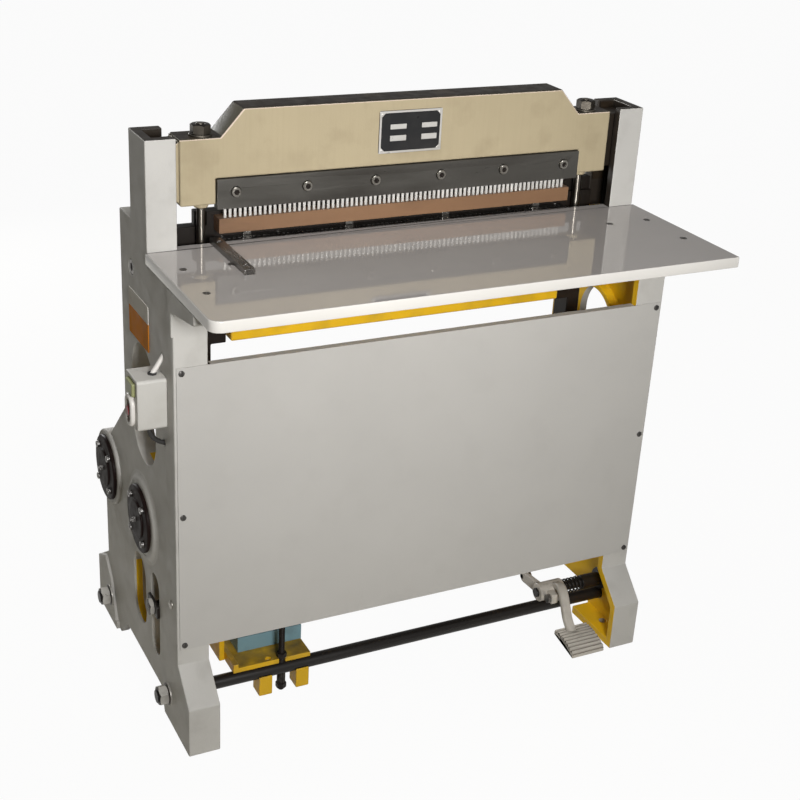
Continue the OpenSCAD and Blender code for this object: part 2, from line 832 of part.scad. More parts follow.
module rear_rail() {
  color("dimgrey") place() {
    block([-rail_half, rail_half], [die_back, die_back + rail_d], [table_low, rail_top]);
    block([guard_in - rod_x, rod_x - guard_in], [die_back, die_back + rail_d], [table_low, guard_top]);
    block([-rod_x - guard_out, rail_half], [die_back + guard_step, die_back + rail_d], [table_low,
      guard_top]);
  }
}

stop_w = 14;
stop_d = 9;

module back_stops() {
  color("silver") place() for (i = [-1.5 : 1 : 1.5])
    block([i * stop_pitch - stop_w / 2, i * stop_pitch + stop_w / 2], [die_back - stop_d, die_back],
      [table_z + gap, stripper_z - gap]);
}

// Pull rods: studs from the ram's shoulders down to the yoke bars.

rod_nut_r = rod_r * 2.35;
rod_nut_t = rod_r * 2.1;
rod_washer_t = 3;
rod_seat = 60;

module pull_rods() {
  color("grey") place() both()
    post(rod_x, rod_y, [bar_top - rod_seat, ram_shoulder + rod_washer_t + rod_nut_t + 2], rod_r);
}

module pull_rod_nuts() {
  color("silver") place() both() difference() {
    union() {
      post(rod_x, rod_y, [ram_shoulder, ram_shoulder + rod_washer_t], rod_nut_r + 2);
      translate([rod_x, rod_y, ram_shoulder + rod_washer_t]) cylinder(h = rod_nut_t, r = rod_nut_r,
        $fn = 6);
      translate([rod_x, rod_y, bar_top]) cylinder(h = rod_nut_t, r = rod_nut_r, $fn = 6);
    }
    post(rod_x, rod_y, [bar_top - 1, ram_shoulder + 4 * rod_nut_t], rod_r);
  }
}

// Yokes: bars whose lower windows ride on the eccentrics, each closed below by a keeper.
// The window is taller than the eccentric by yoke_room on each side: the ram follows the crank at a
// steady rate here, and the room takes up the difference from the true eccentric motion.

yoke_room = ecc * 0.24;
yoke_mid_z = shaft_z + ecc;
window_half = ecc_r + yoke_room;
yoke_half_y = ecc_r + ecc + 1.5;
keeper_t = 20;
bolt_r = 6;
keeper_bolt_l = 29;
keeper_bolt_y = yoke_half_y + yoke_wall / 2;
bar_out = rod_x + 17;
strap_w = bar_w / 2;
head_h = 132;

module yokes() {
  color("dimgrey") place() both() difference() {
    union() {
      block([bar_out - bar_w, bar_out], [rod_y - bar_d / 2, rod_y + bar_d / 2], [bar_top - head_h, bar_top]);
      block([bar_out - strap_w, bar_out], [rod_y - bar_d / 2, rod_y + bar_d / 2],
        [yoke_mid_z + window_half + 1, bar_top]);
      block([rod_x - yoke_t / 2, rod_x + yoke_t / 2],
        [crank_y - yoke_half_y - yoke_wall, crank_y + yoke_half_y + yoke_wall],
        [yoke_mid_z - window_half, yoke_mid_z + window_half + keeper_t]);
    }
    block([rod_x - bar_w, rod_x + bar_w], [crank_y - yoke_half_y, crank_y + yoke_half_y],
      [yoke_mid_z - window_half - 1, yoke_mid_z + window_half]);
    post(rod_x, rod_y, [bar_top - rod_seat, bar_top + 1], rod_r);
    for (y = [-1, 1]) post(rod_x, crank_y + y * keeper_bolt_y, [yoke_mid_z - window_half - 1,
      yoke_mid_z - window_half + keeper_bolt_l + 1], bolt_r);
  }
}

module yoke_keepers() {
  color("grey") place() both() {
    block([rod_x - yoke_t / 2, rod_x + yoke_t / 2],
      [crank_y - yoke_half_y - yoke_wall, crank_y + yoke_half_y + yoke_wall],
      [yoke_mid_z - window_half - keeper_t, yoke_mid_z - window_half]);
    for (y = [-1, 1]) {
      post(rod_x, crank_y + y * keeper_bolt_y, [yoke_mid_z - window_half,
        yoke_mid_z - window_half + keeper_bolt_l], bolt_r);
      translate([rod_x, crank_y + y * keeper_bolt_y, yoke_mid_z - window_half - keeper_t - 7])
        cylinder(h = 7, r = bolt_r * 1.6, $fn = 6);
    }
  }
}

// Crankshaft with its eccentrics, up at rest.

shaft_end = cap_x - 2;
bush_end = web_in - inner_boss_l;

module crankshaft() {
  color("silver") place() {
    rod([-shaft_end, shaft_end], crank_y, shaft_z, crank_r);
    both() rod([rod_x - ecc_w / 2, rod_x + ecc_w / 2], crank_y, shaft_z + ecc, ecc_r);
  }
}

module bush(y, outer, inner) {
  difference() {
    rod([bush_end, cap_x], y, shaft_z, outer);
    rod([bush_end - 1, cap_x + 1], y, shaft_z, inner + run);
  }
}

module bearing_bushes() {
  color("goldenrod") place() both() {
    bush(crank_y, crank_bush_r, crank_r);
    bush(counter_y, counter_bush_r, counter_r);
  }
}

// Gears: straight teeth, with flanks that follow the involute of a 20 degree rack.

backlash = 0.7;
gear_hub_r = crank_r + 17;
gear_hub_w = gear_w + 16;
gear_web_t = 12;

function involute(base, r) = sqrt(pow(r / base, 2) - 1) * 180 / PI - acos(base / r);

// Half of a tooth's angle at radius r, for n teeth.
function tooth_half(n, r) = let (pitch_r = gear_m * n / 2, base = pitch_r * cos(20))
  (90 / n - backlash / pitch_r * 45 / PI) + involute(base, pitch_r) - involute(base, max(r, base));

function tooth(n, i, turn) = let (pitch_r = gear_m * n / 2, root = pitch_r - gear_m * 1.25,
  tip = pitch_r + gear_m * 0.92,
  base = pitch_r * cos(20), low = max(root + 0.5, base), a = 360 * i / n + turn)
  [for (s = [-1, 1]) for (r = s < 0 ? [root, low, pitch_r, tip] : [tip, pitch_r, low, root])
    let (h = s * tooth_half(n, r) + a) [r * sin(h), r * cos(h)]];

function gear_points(n, turn) = [for (i = [0 : n - 1]) each tooth(n, i, turn)];

module gear_blank(x, y, n, turn, w) {
  translate([x - w / 2, y, shaft_z]) rotate([90, 0, 90]) linear_extrude(w) polygon(gear_points(n, turn));
}

module main_gear() {
  color("grey") place() difference() {
    union() {
      difference() {
        gear_blank(gear_x, crank_y, gear_n, 90, gear_w);
        for (s = [-1, 1]) difference() {
          rod([gear_x + s * gear_w / 2 - (gear_w - gear_web_t) / 2,
            gear_x + s * gear_w / 2 + (gear_w - gear_web_t) / 2],
            crank_y, shaft_z, gear_m * gear_n / 2 - 26);
          rod([gear_x - gear_w, gear_x + gear_w], crank_y, shaft_z, gear_hub_r);
        }
        for (a = [0 : 60 : 300]) rod([gear_x - gear_w, gear_x + gear_w],
          crank_y + 92 * cos(a + 30), shaft_z + 92 * sin(a + 30), 26);
      }
      rod([gear_x - gear_hub_w / 2, gear_x + gear_hub_w / 2], crank_y, shaft_z, gear_hub_r);
    }
    rod([gear_x - gear_w, gear_x + gear_w], crank_y, shaft_z, crank_r + run);
  }
}

// Clutch collar with its stop lug, and the collar that keeps the gear from sliding.

collar_r = 45;
lug_r = 59;
collar_x = [gear_x + gear_hub_w / 2 + gap, gear_x + gear_hub_w / 2 + gap + 26];
collar_w = 16;

module clutch_collar() {
  color("darkgrey") place() {
    difference() {
      union() {
        rod(collar_x, crank_y, shaft_z, collar_r);
        intersection() {
          rod(collar_x, crank_y, shaft_z, lug_r);
          translate([0, crank_y, shaft_z]) rotate([10, 0, 0])
            block([collar_x[0], collar_x[1]], [-lug_r, 10 - collar_r], [-26, 0]);
        }
      }
      rod([collar_x[0] - 1, collar_x[1] + 1], crank_y, shaft_z, crank_r);
    }
    difference() {
      rod([gear_x - gear_hub_w / 2 - gap - collar_w, gear_x - gear_hub_w / 2 - gap], crank_y, shaft_z,
        collar_r - 4);
      rod([gear_x - gear_hub_w / 2 - 2 * collar_w, gear_x], crank_y, shaft_z, crank_r);
    }
  }
}

module countershaft() {
  color("silver") place() rod([-shaft_end, shaft_end], counter_y, shaft_z, counter_r);
}

module pinion() {
  color("grey") place() difference() {
    gear_blank(gear_x, counter_y, pinion_n, 180 / pinion_n - 90, gear_w + 8);
    rod([gear_x - gear_w, gear_x + gear_w], counter_y, shaft_z, counter_r);
  }
}

// Flywheel and motor pulley: two grooves each, for the belts that join them.

groove_r = 10;
belt_seat = 9;
belt_x = [fly_x - belt_pitch / 2, fly_x + belt_pitch / 2];

// Outline of a grooved rim's cut, one groove, in width and radius.
module groove(r) {
  rotate_extrude() polygon([[r + 1, belt_w / 2 + 2.2], [r - groove_r, belt_w / 2 + gap], [r - groove_r,
    -belt_w / 2 - gap],
    [r + 1, -belt_w / 2 - 2.2]]);
}

module grooves(y, z, r) {
  for (x = belt_x) translate([x, y, z]) rotate([0, 90, 0]) groove(r);
}

fly_web_t = 14;
fly_rim = 24;

module flywheel() {
  color("dimgrey") place() difference() {
    rod([fly_x - fly_w / 2, fly_x + fly_w / 2], counter_y, shaft_z, fly_r);
    for (s = [-1, 1]) difference() {
      rod([fly_x + s * fly_w / 2 - (fly_w - fly_web_t) / 2, fly_x + s * fly_w / 2 + (fly_w - fly_web_t)
        / 2],
        counter_y, shaft_z, fly_r - fly_rim);
      rod([fly_x - fly_w, fly_x + fly_w], counter_y, shaft_z, counter_r + 16);
    }
    for (a = [0 : 90 : 270]) rod([fly_x - fly_w, fly_x + fly_w], counter_y + 60 * cos(a),
      shaft_z + 60 * sin(a), 17);
    grooves(counter_y, shaft_z, fly_r);
    rod([fly_x - fly_w, fly_x + fly_w], counter_y, shaft_z, counter_r);
  }
}

module motor_pulley() {
  color("silver") place() {
    difference() {
      rod([fly_x - fly_w / 2, fly_x + fly_w / 2], motor_y, motor_z, pulley_r);
      grooves(motor_y, motor_z, pulley_r);
    }
    rod([motor_x + gap, fly_x], motor_y, motor_z, motor_shaft_r);
  }
}

// Belts: each loop is an arc on either pulley and two straight runs along their common tangents.
belt_dy = counter_y - motor_y;
belt_dz = shaft_z - motor_z;
belt_len = sqrt(belt_dy * belt_dy + belt_dz * belt_dz);
belt_angle = atan2(belt_dz, belt_dy);
belt_low = pulley_r - belt_seat;
belt_high = fly_r - belt_seat;
belt_lean = asin((belt_high - belt_low) / belt_len);

belt_steps = 24;

// Points along an arc of radius r, its centre that far along the line of centres.
function belt_arc(along, r, from, sweep) = [for (i = [0 : belt_steps])
  let (a = from + sweep * i / belt_steps)
  [along + r * cos(a), r * sin(a)]];

// Outline of a loop, that far outside the belts' inner face.
function belt_loop(out) = concat(belt_arc(0, belt_low + out, 90 + belt_lean, 180 - 2 * belt_lean),
  belt_arc(belt_len, belt_high + out, -90 - belt_lean, 180 + 2 * belt_lean));

module drive_belts() {
  color("black") place() translate([0, motor_y, motor_z]) rotate([belt_angle, 0, 0]) for (m = belt_x)
    difference() {
      slab([m - belt_w / 2, m + belt_w / 2], belt_loop(belt_h));
      slab([m - belt_w, m + belt_w], belt_loop(0));
    }
}

// Bearing caps on the frames' bosses, four screws and a grease nipple to a cap.

cap_screw_ring = cap_disc_r - 14;
cap_screw_r = 6;
nipple_r = 5;

module cap_places() {
  both() for (y = [crank_y, counter_y]) translate([cap_x, y, shaft_z]) children();
}

module bearing_caps() {
  color("black") place() cap_places() difference() {
    union() {
      rod([0, cap_disc_t], 0, 0, cap_disc_r);
      rod([cap_disc_t, cap_disc_t + 3], 0, 0, cap_disc_r - 26);
    }
    for (a = [45 : 90 : 315]) rod([-1, cap_disc_t + 1], cap_screw_ring * cos(a),
      cap_screw_ring * sin(a), cap_screw_r * 0.6);
    rod([-1, cap_disc_t + 4], 0, 0, nipple_r * 0.6);
  }
}

module cap_screws() {
  color("silver") place() cap_places() {
    for (a = [45 : 90 : 315]) {
      rod([0, cap_disc_t], cap_screw_ring * cos(a), cap_screw_ring * sin(a), cap_screw_r * 0.6);
      rod([cap_disc_t, cap_disc_t + 5], cap_screw_ring * cos(a), cap_screw_ring * sin(a), cap_screw_r);
    }
    rod([0, cap_disc_t + 3], 0, 0, nipple_r * 0.6);
    hex_rod([cap_disc_t + 3, cap_disc_t + 8], 0, 0, nipple_r);
    rod([cap_disc_t + 8, cap_disc_t + 12], 0, 0, nipple_r * 0.55);
  }
}

// Motor: finned body on a base block, fan cowl at its left end, terminal box on top.

fin_n = 20;
fin_t = 3;
motor_left = motor_x - motor_l;
cowl_l = 30;
foot_w = 16;
base_x = [motor_left - 20, motor_x - 2];
base_half = 58;
base_h = 30;

module motor_body() {
  color("steelblue") place() difference() {
    union() {
      rod([motor_left, motor_x], motor_y, motor_z, motor_r);
      for (i = [0 : fin_n - 1]) translate([motor_left + 8, motor_y, motor_z]) rotate([i * 360 / fin_n,
        0, 0])
        translate([0, -fin_t / 2, motor_r - 2]) cube([motor_l - 20, fin_t, fin_h + 2]);
      rod([motor_x - 12, motor_x], motor_y, motor_z, motor_r + fin_h);
      block(base_x, [motor_y - base_half, motor_y + base_half], [plate_top, plate_top + base_h]);
      for (x = [motor_left + 8, motor_x - 12 - foot_w]) block([x, x + foot_w], [motor_y - 45, motor_y + 45],
        [plate_top, motor_z - 30]);
    }
    rod([motor_x - 30, motor_x + 1], motor_y, motor_z, motor_shaft_r + 2);
  }
}

module fan_cowl() {
  color("steelblue") place() difference() {
    rod([motor_left - cowl_l, motor_left], motor_y, motor_z, motor_r + fin_h - 1);
    for (a = [0 : 30 : 330]) rod([motor_left - cowl_l - 1, motor_left - cowl_l + 3],
      motor_y + 40 * cos(a), motor_z + 40 * sin(a), 6);
  }
}

terminal_x = [motor_left + 22, motor_left + 76];
terminal_z = [motor_z + motor_r - 3, motor_z + motor_r + 34];

module terminal_box() {
  color("steelblue") place() difference() {
    block(terminal_x, [motor_y - 30, motor_y + 30], terminal_z);
    rod([motor_left, motor_x], motor_y, motor_z, motor_r + fin_h + 0.3);
  }
}

// Motor plate: hinged on the front tie rod, with lugs under the rod and a bolt through it.

plate_x = [plate_right - plate_w, plate_right];
clamp_wall = 10;
lug_w = 25;
lug_x = [plate_x[0] + 45, plate_right - 6 - lug_w];
clamp_mid = plate_right - 54;
clamp_back = tie_y + tie_r + 27;
clamp_bolt_r = 5.5;
clamp_low = tie_z - tie_r - 30;
clamp_nut_t = 10;
plate_hole_in = 24;

module motor_plate() {
  color("gold") place() difference() {
    union() {
      block(plate_x, [plate_y, plate_y + plate_l], [plate_low, plate_top]);
      block([plate_x[0], plate_x[0] + 10], [plate_y, plate_y + plate_l], [plate_low, plate_top + 8]);
    }
    post(clamp_mid, tie_y, [plate_low - 1, plate_top + 1], clamp_bolt_r + bolt_gap);
    block([clamp_mid - clamp_bolt_r - bolt_gap, clamp_mid + clamp_bolt_r + bolt_gap], [plate_y - 1, tie_y],
      [plate_low - 1, plate_top + 1]);
    post(clamp_mid - plate_hole_in, tie_y + 3, [plate_top - 6, plate_top + 1], 5.5);
  }
}

module rod_clamp() {
  color("gold") place() difference() {
    union() {
      for (x = lug_x) block([x, x + lug_w], [tie_y - tie_r - 3, tie_y + tie_r + 5], [clamp_low, tie_z - 3]);
      block([lug_x[0], lug_x[1] + lug_w], [tie_y + tie_r + 1, clamp_back], [clamp_low + 24, plate_low]);
    }
    rod([plate_x[0] - 1, plate_right + 1], tie_y, tie_z, tie_r);
  }
}

module clamp_bolt() {
  color("dimgrey") place() {
    post(clamp_mid, tie_y, [clamp_low - 4, plate_top + 72], clamp_bolt_r);
    translate([clamp_mid, tie_y, plate_top]) cylinder(h = clamp_nut_t, r = clamp_bolt_r * 1.7, $fn = 6);
    translate([clamp_mid, tie_y, clamp_low]) cylinder(h = clamp_nut_t, r = clamp_bolt_r * 1.8, $fn = 6);
    difference() {
      post(clamp_mid, tie_y, [clamp_low, tie_z - tie_r + 3], clamp_bolt_r * 1.4);
      rod([plate_x[0], plate_right], tie_y, tie_z, tie_r);
    }
  }
}

// Tension arm: an angle from the motor plate up to the slot in the left frame, clamped by a bolt.

arm_t = 10;
arm_w = 56;
tension_z = slot_z + 18;
tension_r = 9;

module tension_arm() {
  color("gold") place() difference() {
    union() {
      block([-web_in, arm_t - web_in], [slot_y - arm_w / 2, slot_y + arm_w / 2], [tension_z - 28,
        tension_z + 28]);
      block([-web_in, plate_x[0]], [slot_y - arm_w / 2, slot_y + arm_w / 2], [tension_z - 28,
        tension_z - 28 + arm_t]);
      block([plate_x[0] - arm_t, plate_x[0]], [slot_y - arm_w / 2, slot_y + arm_w / 2], [plate_low,
        tension_z - 28 + arm_t]);
    }
    rod([-frame_half, 0], slot_y, tension_z, tension_r + bolt_gap);
  }
}

washer_w = 54;
washer_h = 26;

module tension_bolt() {
  color("dimgrey") place() {
    rod([-frame_half - 11, arm_t - web_in + 14], slot_y, tension_z, tension_r);
    block([-frame_half - 5, -frame_half], [slot_y - washer_w / 2, slot_y + washer_w / 2],
      [tension_z - washer_h / 2, tension_z + washer_h / 2]);
    hex_rod([-frame_half - 13, -frame_half - 5], slot_y, tension_z, tension_r * 1.75);
    hex_rod([arm_t - web_in, arm_t - web_in + 12], slot_y, tension_z, tension_r * 1.75);
  }
}

// Pedal: a cast lever with a ribbed tread, clamped on a shaft that turns in the right frame.

hub_end = hub_x + hub_l;
lever_half = 9;
lever_mid = hub_end - 17;
lever_turn = -13;
elbow_y = pedal_y - 36;
elbow_z = pedal_z + 21;
toe_l = elbow_y - tread_y - 56;
toe_z = tread_z + 17;
tread_mid = hub_x + 23;
tread_x = [tread_mid - tread_w / 2, tread_mid + tread_w / 2];
tread_lean = 12.5;
trip_t = 10;
trip_x = [hub_x + 8, hub_x + 8 + trip_t];
link_x = [trip_x[1] + gap, trip_x[1] + gap + 6];
trip_y = pedal_y + trip_r * cos(pedal_half);
trip_z = pedal_z - trip_r * sin(pedal_half);

module tread() {
  translate([0, tread_y, tread_z - tread_t]) rotate([tread_lean, 0, 0]) {
    block(tread_x, [0, tread_l], [0, tread_t - 3]);
    for (i = [0 : rib_n - 1]) block(tread_x, [i * (tread_l - 4) / (rib_n - 1), i * (tread_l - 4)
      / (rib_n - 1) + 4],
      [tread_t - 4, tread_t]);
  }
}

module pedal_lever() {
  color("darkgrey") place() difference() {
    union() {
      rod([hub_x, hub_end], pedal_y, pedal_z, hub_r);
      block([hub_x + 12, hub_x + 26], [pedal_y - hub_r - 18, pedal_y], [pedal_z - 10, pedal_z + 10]);
      slab([lever_mid - lever_half, lever_mid + lever_half], [[pedal_y - 2, pedal_z + 6], [pedal_y - 2,
        pedal_z + 24],
        [elbow_y, elbow_z + 8], [elbow_y, elbow_z - 8]]);
      rod([lever_mid - lever_half, lever_mid + lever_half], elbow_y, elbow_z, 8);
      translate([lever_mid, elbow_y, 0]) rotate([0, 0, lever_turn]) slab([-lever_half, lever_half],
        [[0, elbow_z + 8], [-toe_l, toe_z + 7], [-toe_l, toe_z - 9], [0, elbow_z - 8]]);
      tread();
      slab(trip_x, [[pedal_y, pedal_z - 12], [trip_y, trip_z - 10], [trip_y + 10, trip_z], [trip_y,
        trip_z + 10],
        [pedal_y, pedal_z + 12]]);
      rod([trip_x[0], link_x[1] + 4], trip_y, trip_z, pin_r);
    }
    rod([hub_x - 1, hub_end + 1], pedal_y, pedal_z, pedal_r);
    rod([hub_x + 11, hub_x + 27], pedal_y - hub_r - 9, pedal_z, 4.5);
  }
}

module pinch_bolt() {
  color("dimgrey") place() {
    rod([hub_x + 5, hub_x + 34], pedal_y - hub_r - 9, pedal_z, 4.5);
    hex_rod([hub_x + 5, hub_x + 12], pedal_y - hub_r - 9, pedal_z, 9);
    hex_rod([hub_x + 26, hub_x + 32], pedal_y - hub_r - 9, pedal_z, 9);
  }
}

bearing_r = pedal_r + 5;
bearing_l = 50;
bearing_x = web_in - bearing_l;

module pedal_shaft() {
  color("dimgrey") place() rod([hub_x - 4, frame_half - 1], pedal_y, pedal_z, pedal_r);
}

module pedal_bearing() {
  color("dimgrey") place() difference() {
    union() {
      rod([bearing_x, frame_half - 1], pedal_y, pedal_z, bearing_r);
      rod([web_in - 8, web_in], pedal_y, pedal_z, bearing_r + 8);
    }
    rod([bearing_x - 1, frame_half], pedal_y, pedal_z, pedal_r + run);
  }
}

// Return spring: one wire wound round the pedal shaft, its ends lying along the hub and the bearing.

wire_r = 1.75;
spring_r = pedal_r + wire_r + 2;
spring_turns = 5;
spring_x = [hub_end + wire_r + 0.3, bearing_x - wire_r - 0.3];
spring_rings = 24;
spring_sides = 6;
spring_leg = 22;

function spring_at(t) = [spring_x[0] + (spring_x[1] - spring_x[0]) * t / spring_turns,
  pedal_y + spring_r * cos(360 * t), pedal_z + spring_r * sin(360 * t)];

spring_path = concat([spring_at(0) - [0, 0, spring_leg], spring_at(0) - [0, 0, spring_leg / 2]],
  [for (i = [0 : spring_turns * spring_rings]) spring_at(i / spring_rings)],
  [spring_at(spring_turns) + [0, 0, spring_leg / 2], spring_at(spring_turns) + [0, 0, spring_leg]]);

function unit(v) = v / norm(v);

// Ring of points round the wire at step i, square to the path.
function wire_ring(i) = let (n = len(spring_path), a = spring_path[max(i - 1, 0)],
  b = spring_path[min(i + 1, n - 1)],
  along = unit(b - a), side = unit(cross(along, [1, 0, 0.001])), up = cross(side, along))
  [for (k = [0 : spring_sides - 1]) spring_path[i]
    + wire_r * (cos(360 * k / spring_sides) * side + sin(360 * k / spring_sides) * up)];

spring_gap = (spring_x[1] - spring_x[0]) / spring_turns - 2 * wire_r;
echo(spring_gap = spring_gap);

module pedal_spring() {
  n = len(spring_path);
  s = spring_sides;
  color("dimgrey") place() polyhedron(
    points = [for (i = [0 : n - 1]) each wire_ring(i)],
    faces = concat([[for (k = [0 : s - 1]) k]], [[for (k = [s - 1 : -1 : 0]) (n - 1) * s + k]],
      [for (i = [0 : n - 2]) for (k = [0 : s - 1]) each [[i * s + k, (i + 1) * s + k, i * s + (k + 1) % s],
        [i * s + (k + 1) % s, (i + 1) * s + k, (i + 1) * s + (k + 1) % s]]]));
}

// Clutch latch on its pivot, moved by the pedal through an upright link.
// The link's eyes have link_room round the pins, so that it can move straight up.

latch_swing = asin(trip_r * sin(pedal_half) / latch_arm);
latch_pin_y = latch_y + latch_arm * cos(latch_swing);
latch_pin_z = latch_z - latch_arm * sin(latch_swing);
link_y = (trip_y + latch_pin_y) / 2;
link_room = 1.6;
eye_r = pin_r + link_room + 5;
nose_y = crank_y - collar_r - 1.5;
nose_l = 26;

module clutch_link() {
  color("grey") place() difference() {
    union() {
      rod(link_x, link_y, trip_z, eye_r);
      rod(link_x, link_y, latch_pin_z, eye_r);
      block(link_x, [link_y - 6, link_y + 6], [trip_z, latch_pin_z]);
    }
    rod([link_x[0] - 1, link_x[1] + 1], trip_y, trip_z, pin_r + link_room);
    rod([link_x[0] - 1, link_x[1] + 1], latch_pin_y, latch_pin_z, pin_r + link_room);
  }
}

module clutch_latch() {
  color("grey") place() difference() {
    union() {
      rod(trip_x, latch_y, latch_z, latch_r + 8);
      slab(trip_x, [[latch_y, latch_z - 12], [latch_pin_y + 2, latch_pin_z - 8], [latch_pin_y + 8,
        latch_pin_z],
        [latch_pin_y + 2, latch_pin_z + 8], [latch_y + 10, latch_z + 12]]);
      slab(trip_x, [[latch_y - 14, latch_z + 4], [latch_y + 14, latch_z], [nose_y - 12, shaft_z - 8],
        [nose_y, shaft_z - 4],
        [nose_y, shaft_z + 6], [nose_y - nose_l, shaft_z + 6]]);
      rod([trip_x[0], link_x[1] + 4], latch_pin_y, latch_pin_z, pin_r);
    }
    rod([trip_x[0] - 1, trip_x[1] + 1], latch_y, latch_z, latch_r + run);
  }
}

module latch_pivot() {
  color("dimgrey") place() {
    rod([trip_x[0] - 6, frame_half - 1], latch_y, latch_z, latch_r);
    rod([trip_x[0] - 6, trip_x[0] - gap], latch_y, latch_z, latch_r + 4);
    rod([trip_x[1] + gap, trip_x[1] + gap + 6], latch_y, latch_z, latch_r + 4);
    rod([web_in - 10, web_in], latch_y, latch_z, latch_r + 9);
  }
}

// Switch box on the left frame, with a start and a stop button in its outer face.

button_room = 12;
start_y = [box_y + 12, box_y + box_l - 12];
start_z = [box_z + box_h - 30, box_z + box_h - 8];
stop_mid_y = box_y + box_l / 2;
stop_mid_z = box_z + 26;
stop_r = 10;
oval_rise = 3;
button_proud = 5;

module switch_box() {
  color("whitesmoke") place() difference() {
    union() {
      block([-box_x, -frame_half], [box_y + 5, box_y + box_l - 5], [box_z, box_z + box_h]);
      block([-box_x, -frame_half], [box_y, box_y + box_l], [box_z + 5, box_z + box_h - 5]);
      for (y = [box_y + 5, box_y + box_l - 5]) for (z = [box_z + 5, box_z + box_h - 5]) rod([-box_x,
        -frame_half], y, z, 5);
      obround([-box_x - oval_rise, -box_x + 1], stop_mid_y, stop_mid_z, 2 * stop_r + 10, 2 * stop_r + 22);
    }
    block([-box_x - 5, button_room - box_x], [start_y[0] - gap, start_y[1] + gap], [start_z[0] - gap,
      start_z[1] + gap]);
    rod([-box_x - 5, button_room - box_x], stop_mid_y, stop_mid_z, stop_r + gap);
    post(-frame_half - box_d / 2, cable_y, [box_z - 1, box_z + 8], cable_r);
    conduit_way() post(0, 0, [-8, 6], conduit_r);
  }
}

module start_button() {
  color("green") place() block([-box_x - button_proud, button_room - button_travel - gap - box_x],
    start_y, start_z);
}

module stop_button() {
  color("red") place() {
    rod([-box_x - button_proud, button_room - button_travel - gap - box_x], stop_mid_y, stop_mid_z, stop_r);
    rod([-box_x - button_proud - 3, -box_x - button_proud], stop_mid_y, stop_mid_z, stop_r - 2);
  }
}

// Conduit: straight white tube from the box's top, leaning over into a blind hole in the frame.

conduit_r = 4;
conduit_y = box_y + 25;
conduit_lean = 33;
conduit_run = 44;

module conduit_way() {
  translate([-frame_half - box_d / 3, conduit_y, box_z + box_h]) rotate([0, conduit_lean, 0]) children();
}

module conduit() {
  color("white") place() conduit_way() post(0, 0, [-8, conduit_run], conduit_r);
}

// Motor cable: black, from the box's bottom through the frame, down inside it and to the terminal box.

cable_r = 4;
cable_room = 1.5;
cable_turn = 32;
cable_y = box_y + 22;
cable_drop = 4;
cable_x = -frame_half - box_d / 2;
cable_z = box_z - cable_drop - cable_turn;
cable_inside = cable_x + 2 * cable_turn + 2;
gland_drop = 16;
cable_low = terminal_z[1] - gland_drop;
gland_x = (terminal_x[0] + terminal_x[1]) / 2;

module motor_cable() {
  color("black") place() {
    post(cable_x, cable_y, [box_z - cable_drop, box_z + 8], cable_r);
    translate([cable_x + cable_turn, cable_y, box_z - cable_drop]) rotate([-90, 0, 180])
      bend(cable_turn, cable_r);
    rod([cable_x + cable_turn, cable_inside - cable_turn], cable_y, cable_z, cable_r);
    translate([cable_inside - cable_turn, cable_y, cable_z - cable_turn]) rotate([90, 0, 0])
      bend(cable_turn, cable_r);
    post(cable_inside, cable_y, [cable_low + cable_turn, cable_z - cable_turn], cable_r);
    translate([cable_inside + cable_turn, cable_y, cable_low + cable_turn]) rotate([-90, 0, 180])
      bend(cable_turn, cable_r);
    rod([cable_inside + cable_turn, gland_x - cable_turn], cable_y, cable_low, cable_r);
    translate([gland_x - cable_turn, cable_y + cable_turn, cable_low]) rotate([0, 0, -90])
      bend(cable_turn, cable_r);
    translate([gland_x, cable_y + cable_turn, cable_low]) rotate([-90, 0, 0])
      cylinder(h = motor_y - 30 - cable_y - cable_turn, r = cable_r);
  }
}

// Blank plate on the left frame, above the window.

label_t = 1.5;
label_y = 121;

module label_plate() {
  color("orange") place()
    block([-frame_half - label_t, -frame_half], [label_y, label_y + label_l], [label_z, label_z + label_h]);
}

left_frame();
right_frame();
bed_beam();
bed_bolts();
work_table();
table_screws();
side_guide();
front_panel();
panel_screws();
tie_rods();
tie_rod_nuts();
ram_beam();
guide_strips();
nameplate();
punch_retainer();
retainer_screws();
punches();
stripper_plate();
die_plate();
die_screws();
rear_rail();
back_stops();
pull_rods();
pull_rod_nuts();
yokes();
yoke_keepers();
crankshaft();
bearing_bushes();
main_gear();
clutch_collar();
countershaft();
pinion();
flywheel();
drive_belts();
bearing_caps();
cap_screws();
motor_body();
fan_cowl();
terminal_box();
motor_pulley();
motor_plate();
rod_clamp();
clamp_bolt();
tension_arm();
tension_bolt();
pedal_lever();
pinch_bolt();
pedal_shaft();
pedal_bearing();
pedal_spring();
clutch_link();
clutch_latch();
latch_pivot();
switch_box();
start_button();
stop_button();
conduit();
motor_cable();
label_plate();
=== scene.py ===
import bmesh
import bpy
import numpy as np
from mathutils import Matrix


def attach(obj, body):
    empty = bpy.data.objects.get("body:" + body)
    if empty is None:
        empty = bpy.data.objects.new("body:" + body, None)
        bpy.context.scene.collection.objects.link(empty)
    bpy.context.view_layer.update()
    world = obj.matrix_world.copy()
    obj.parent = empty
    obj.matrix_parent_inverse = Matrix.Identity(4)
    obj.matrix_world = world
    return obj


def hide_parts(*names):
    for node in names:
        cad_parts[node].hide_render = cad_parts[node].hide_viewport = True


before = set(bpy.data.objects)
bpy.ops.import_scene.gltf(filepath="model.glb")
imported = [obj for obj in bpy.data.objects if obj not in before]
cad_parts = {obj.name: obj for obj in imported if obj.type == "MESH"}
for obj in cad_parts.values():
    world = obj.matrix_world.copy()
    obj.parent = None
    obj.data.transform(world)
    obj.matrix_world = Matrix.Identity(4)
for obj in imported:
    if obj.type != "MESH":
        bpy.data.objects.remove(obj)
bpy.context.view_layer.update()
bpy.context.scene.view_settings.view_transform = "Standard"


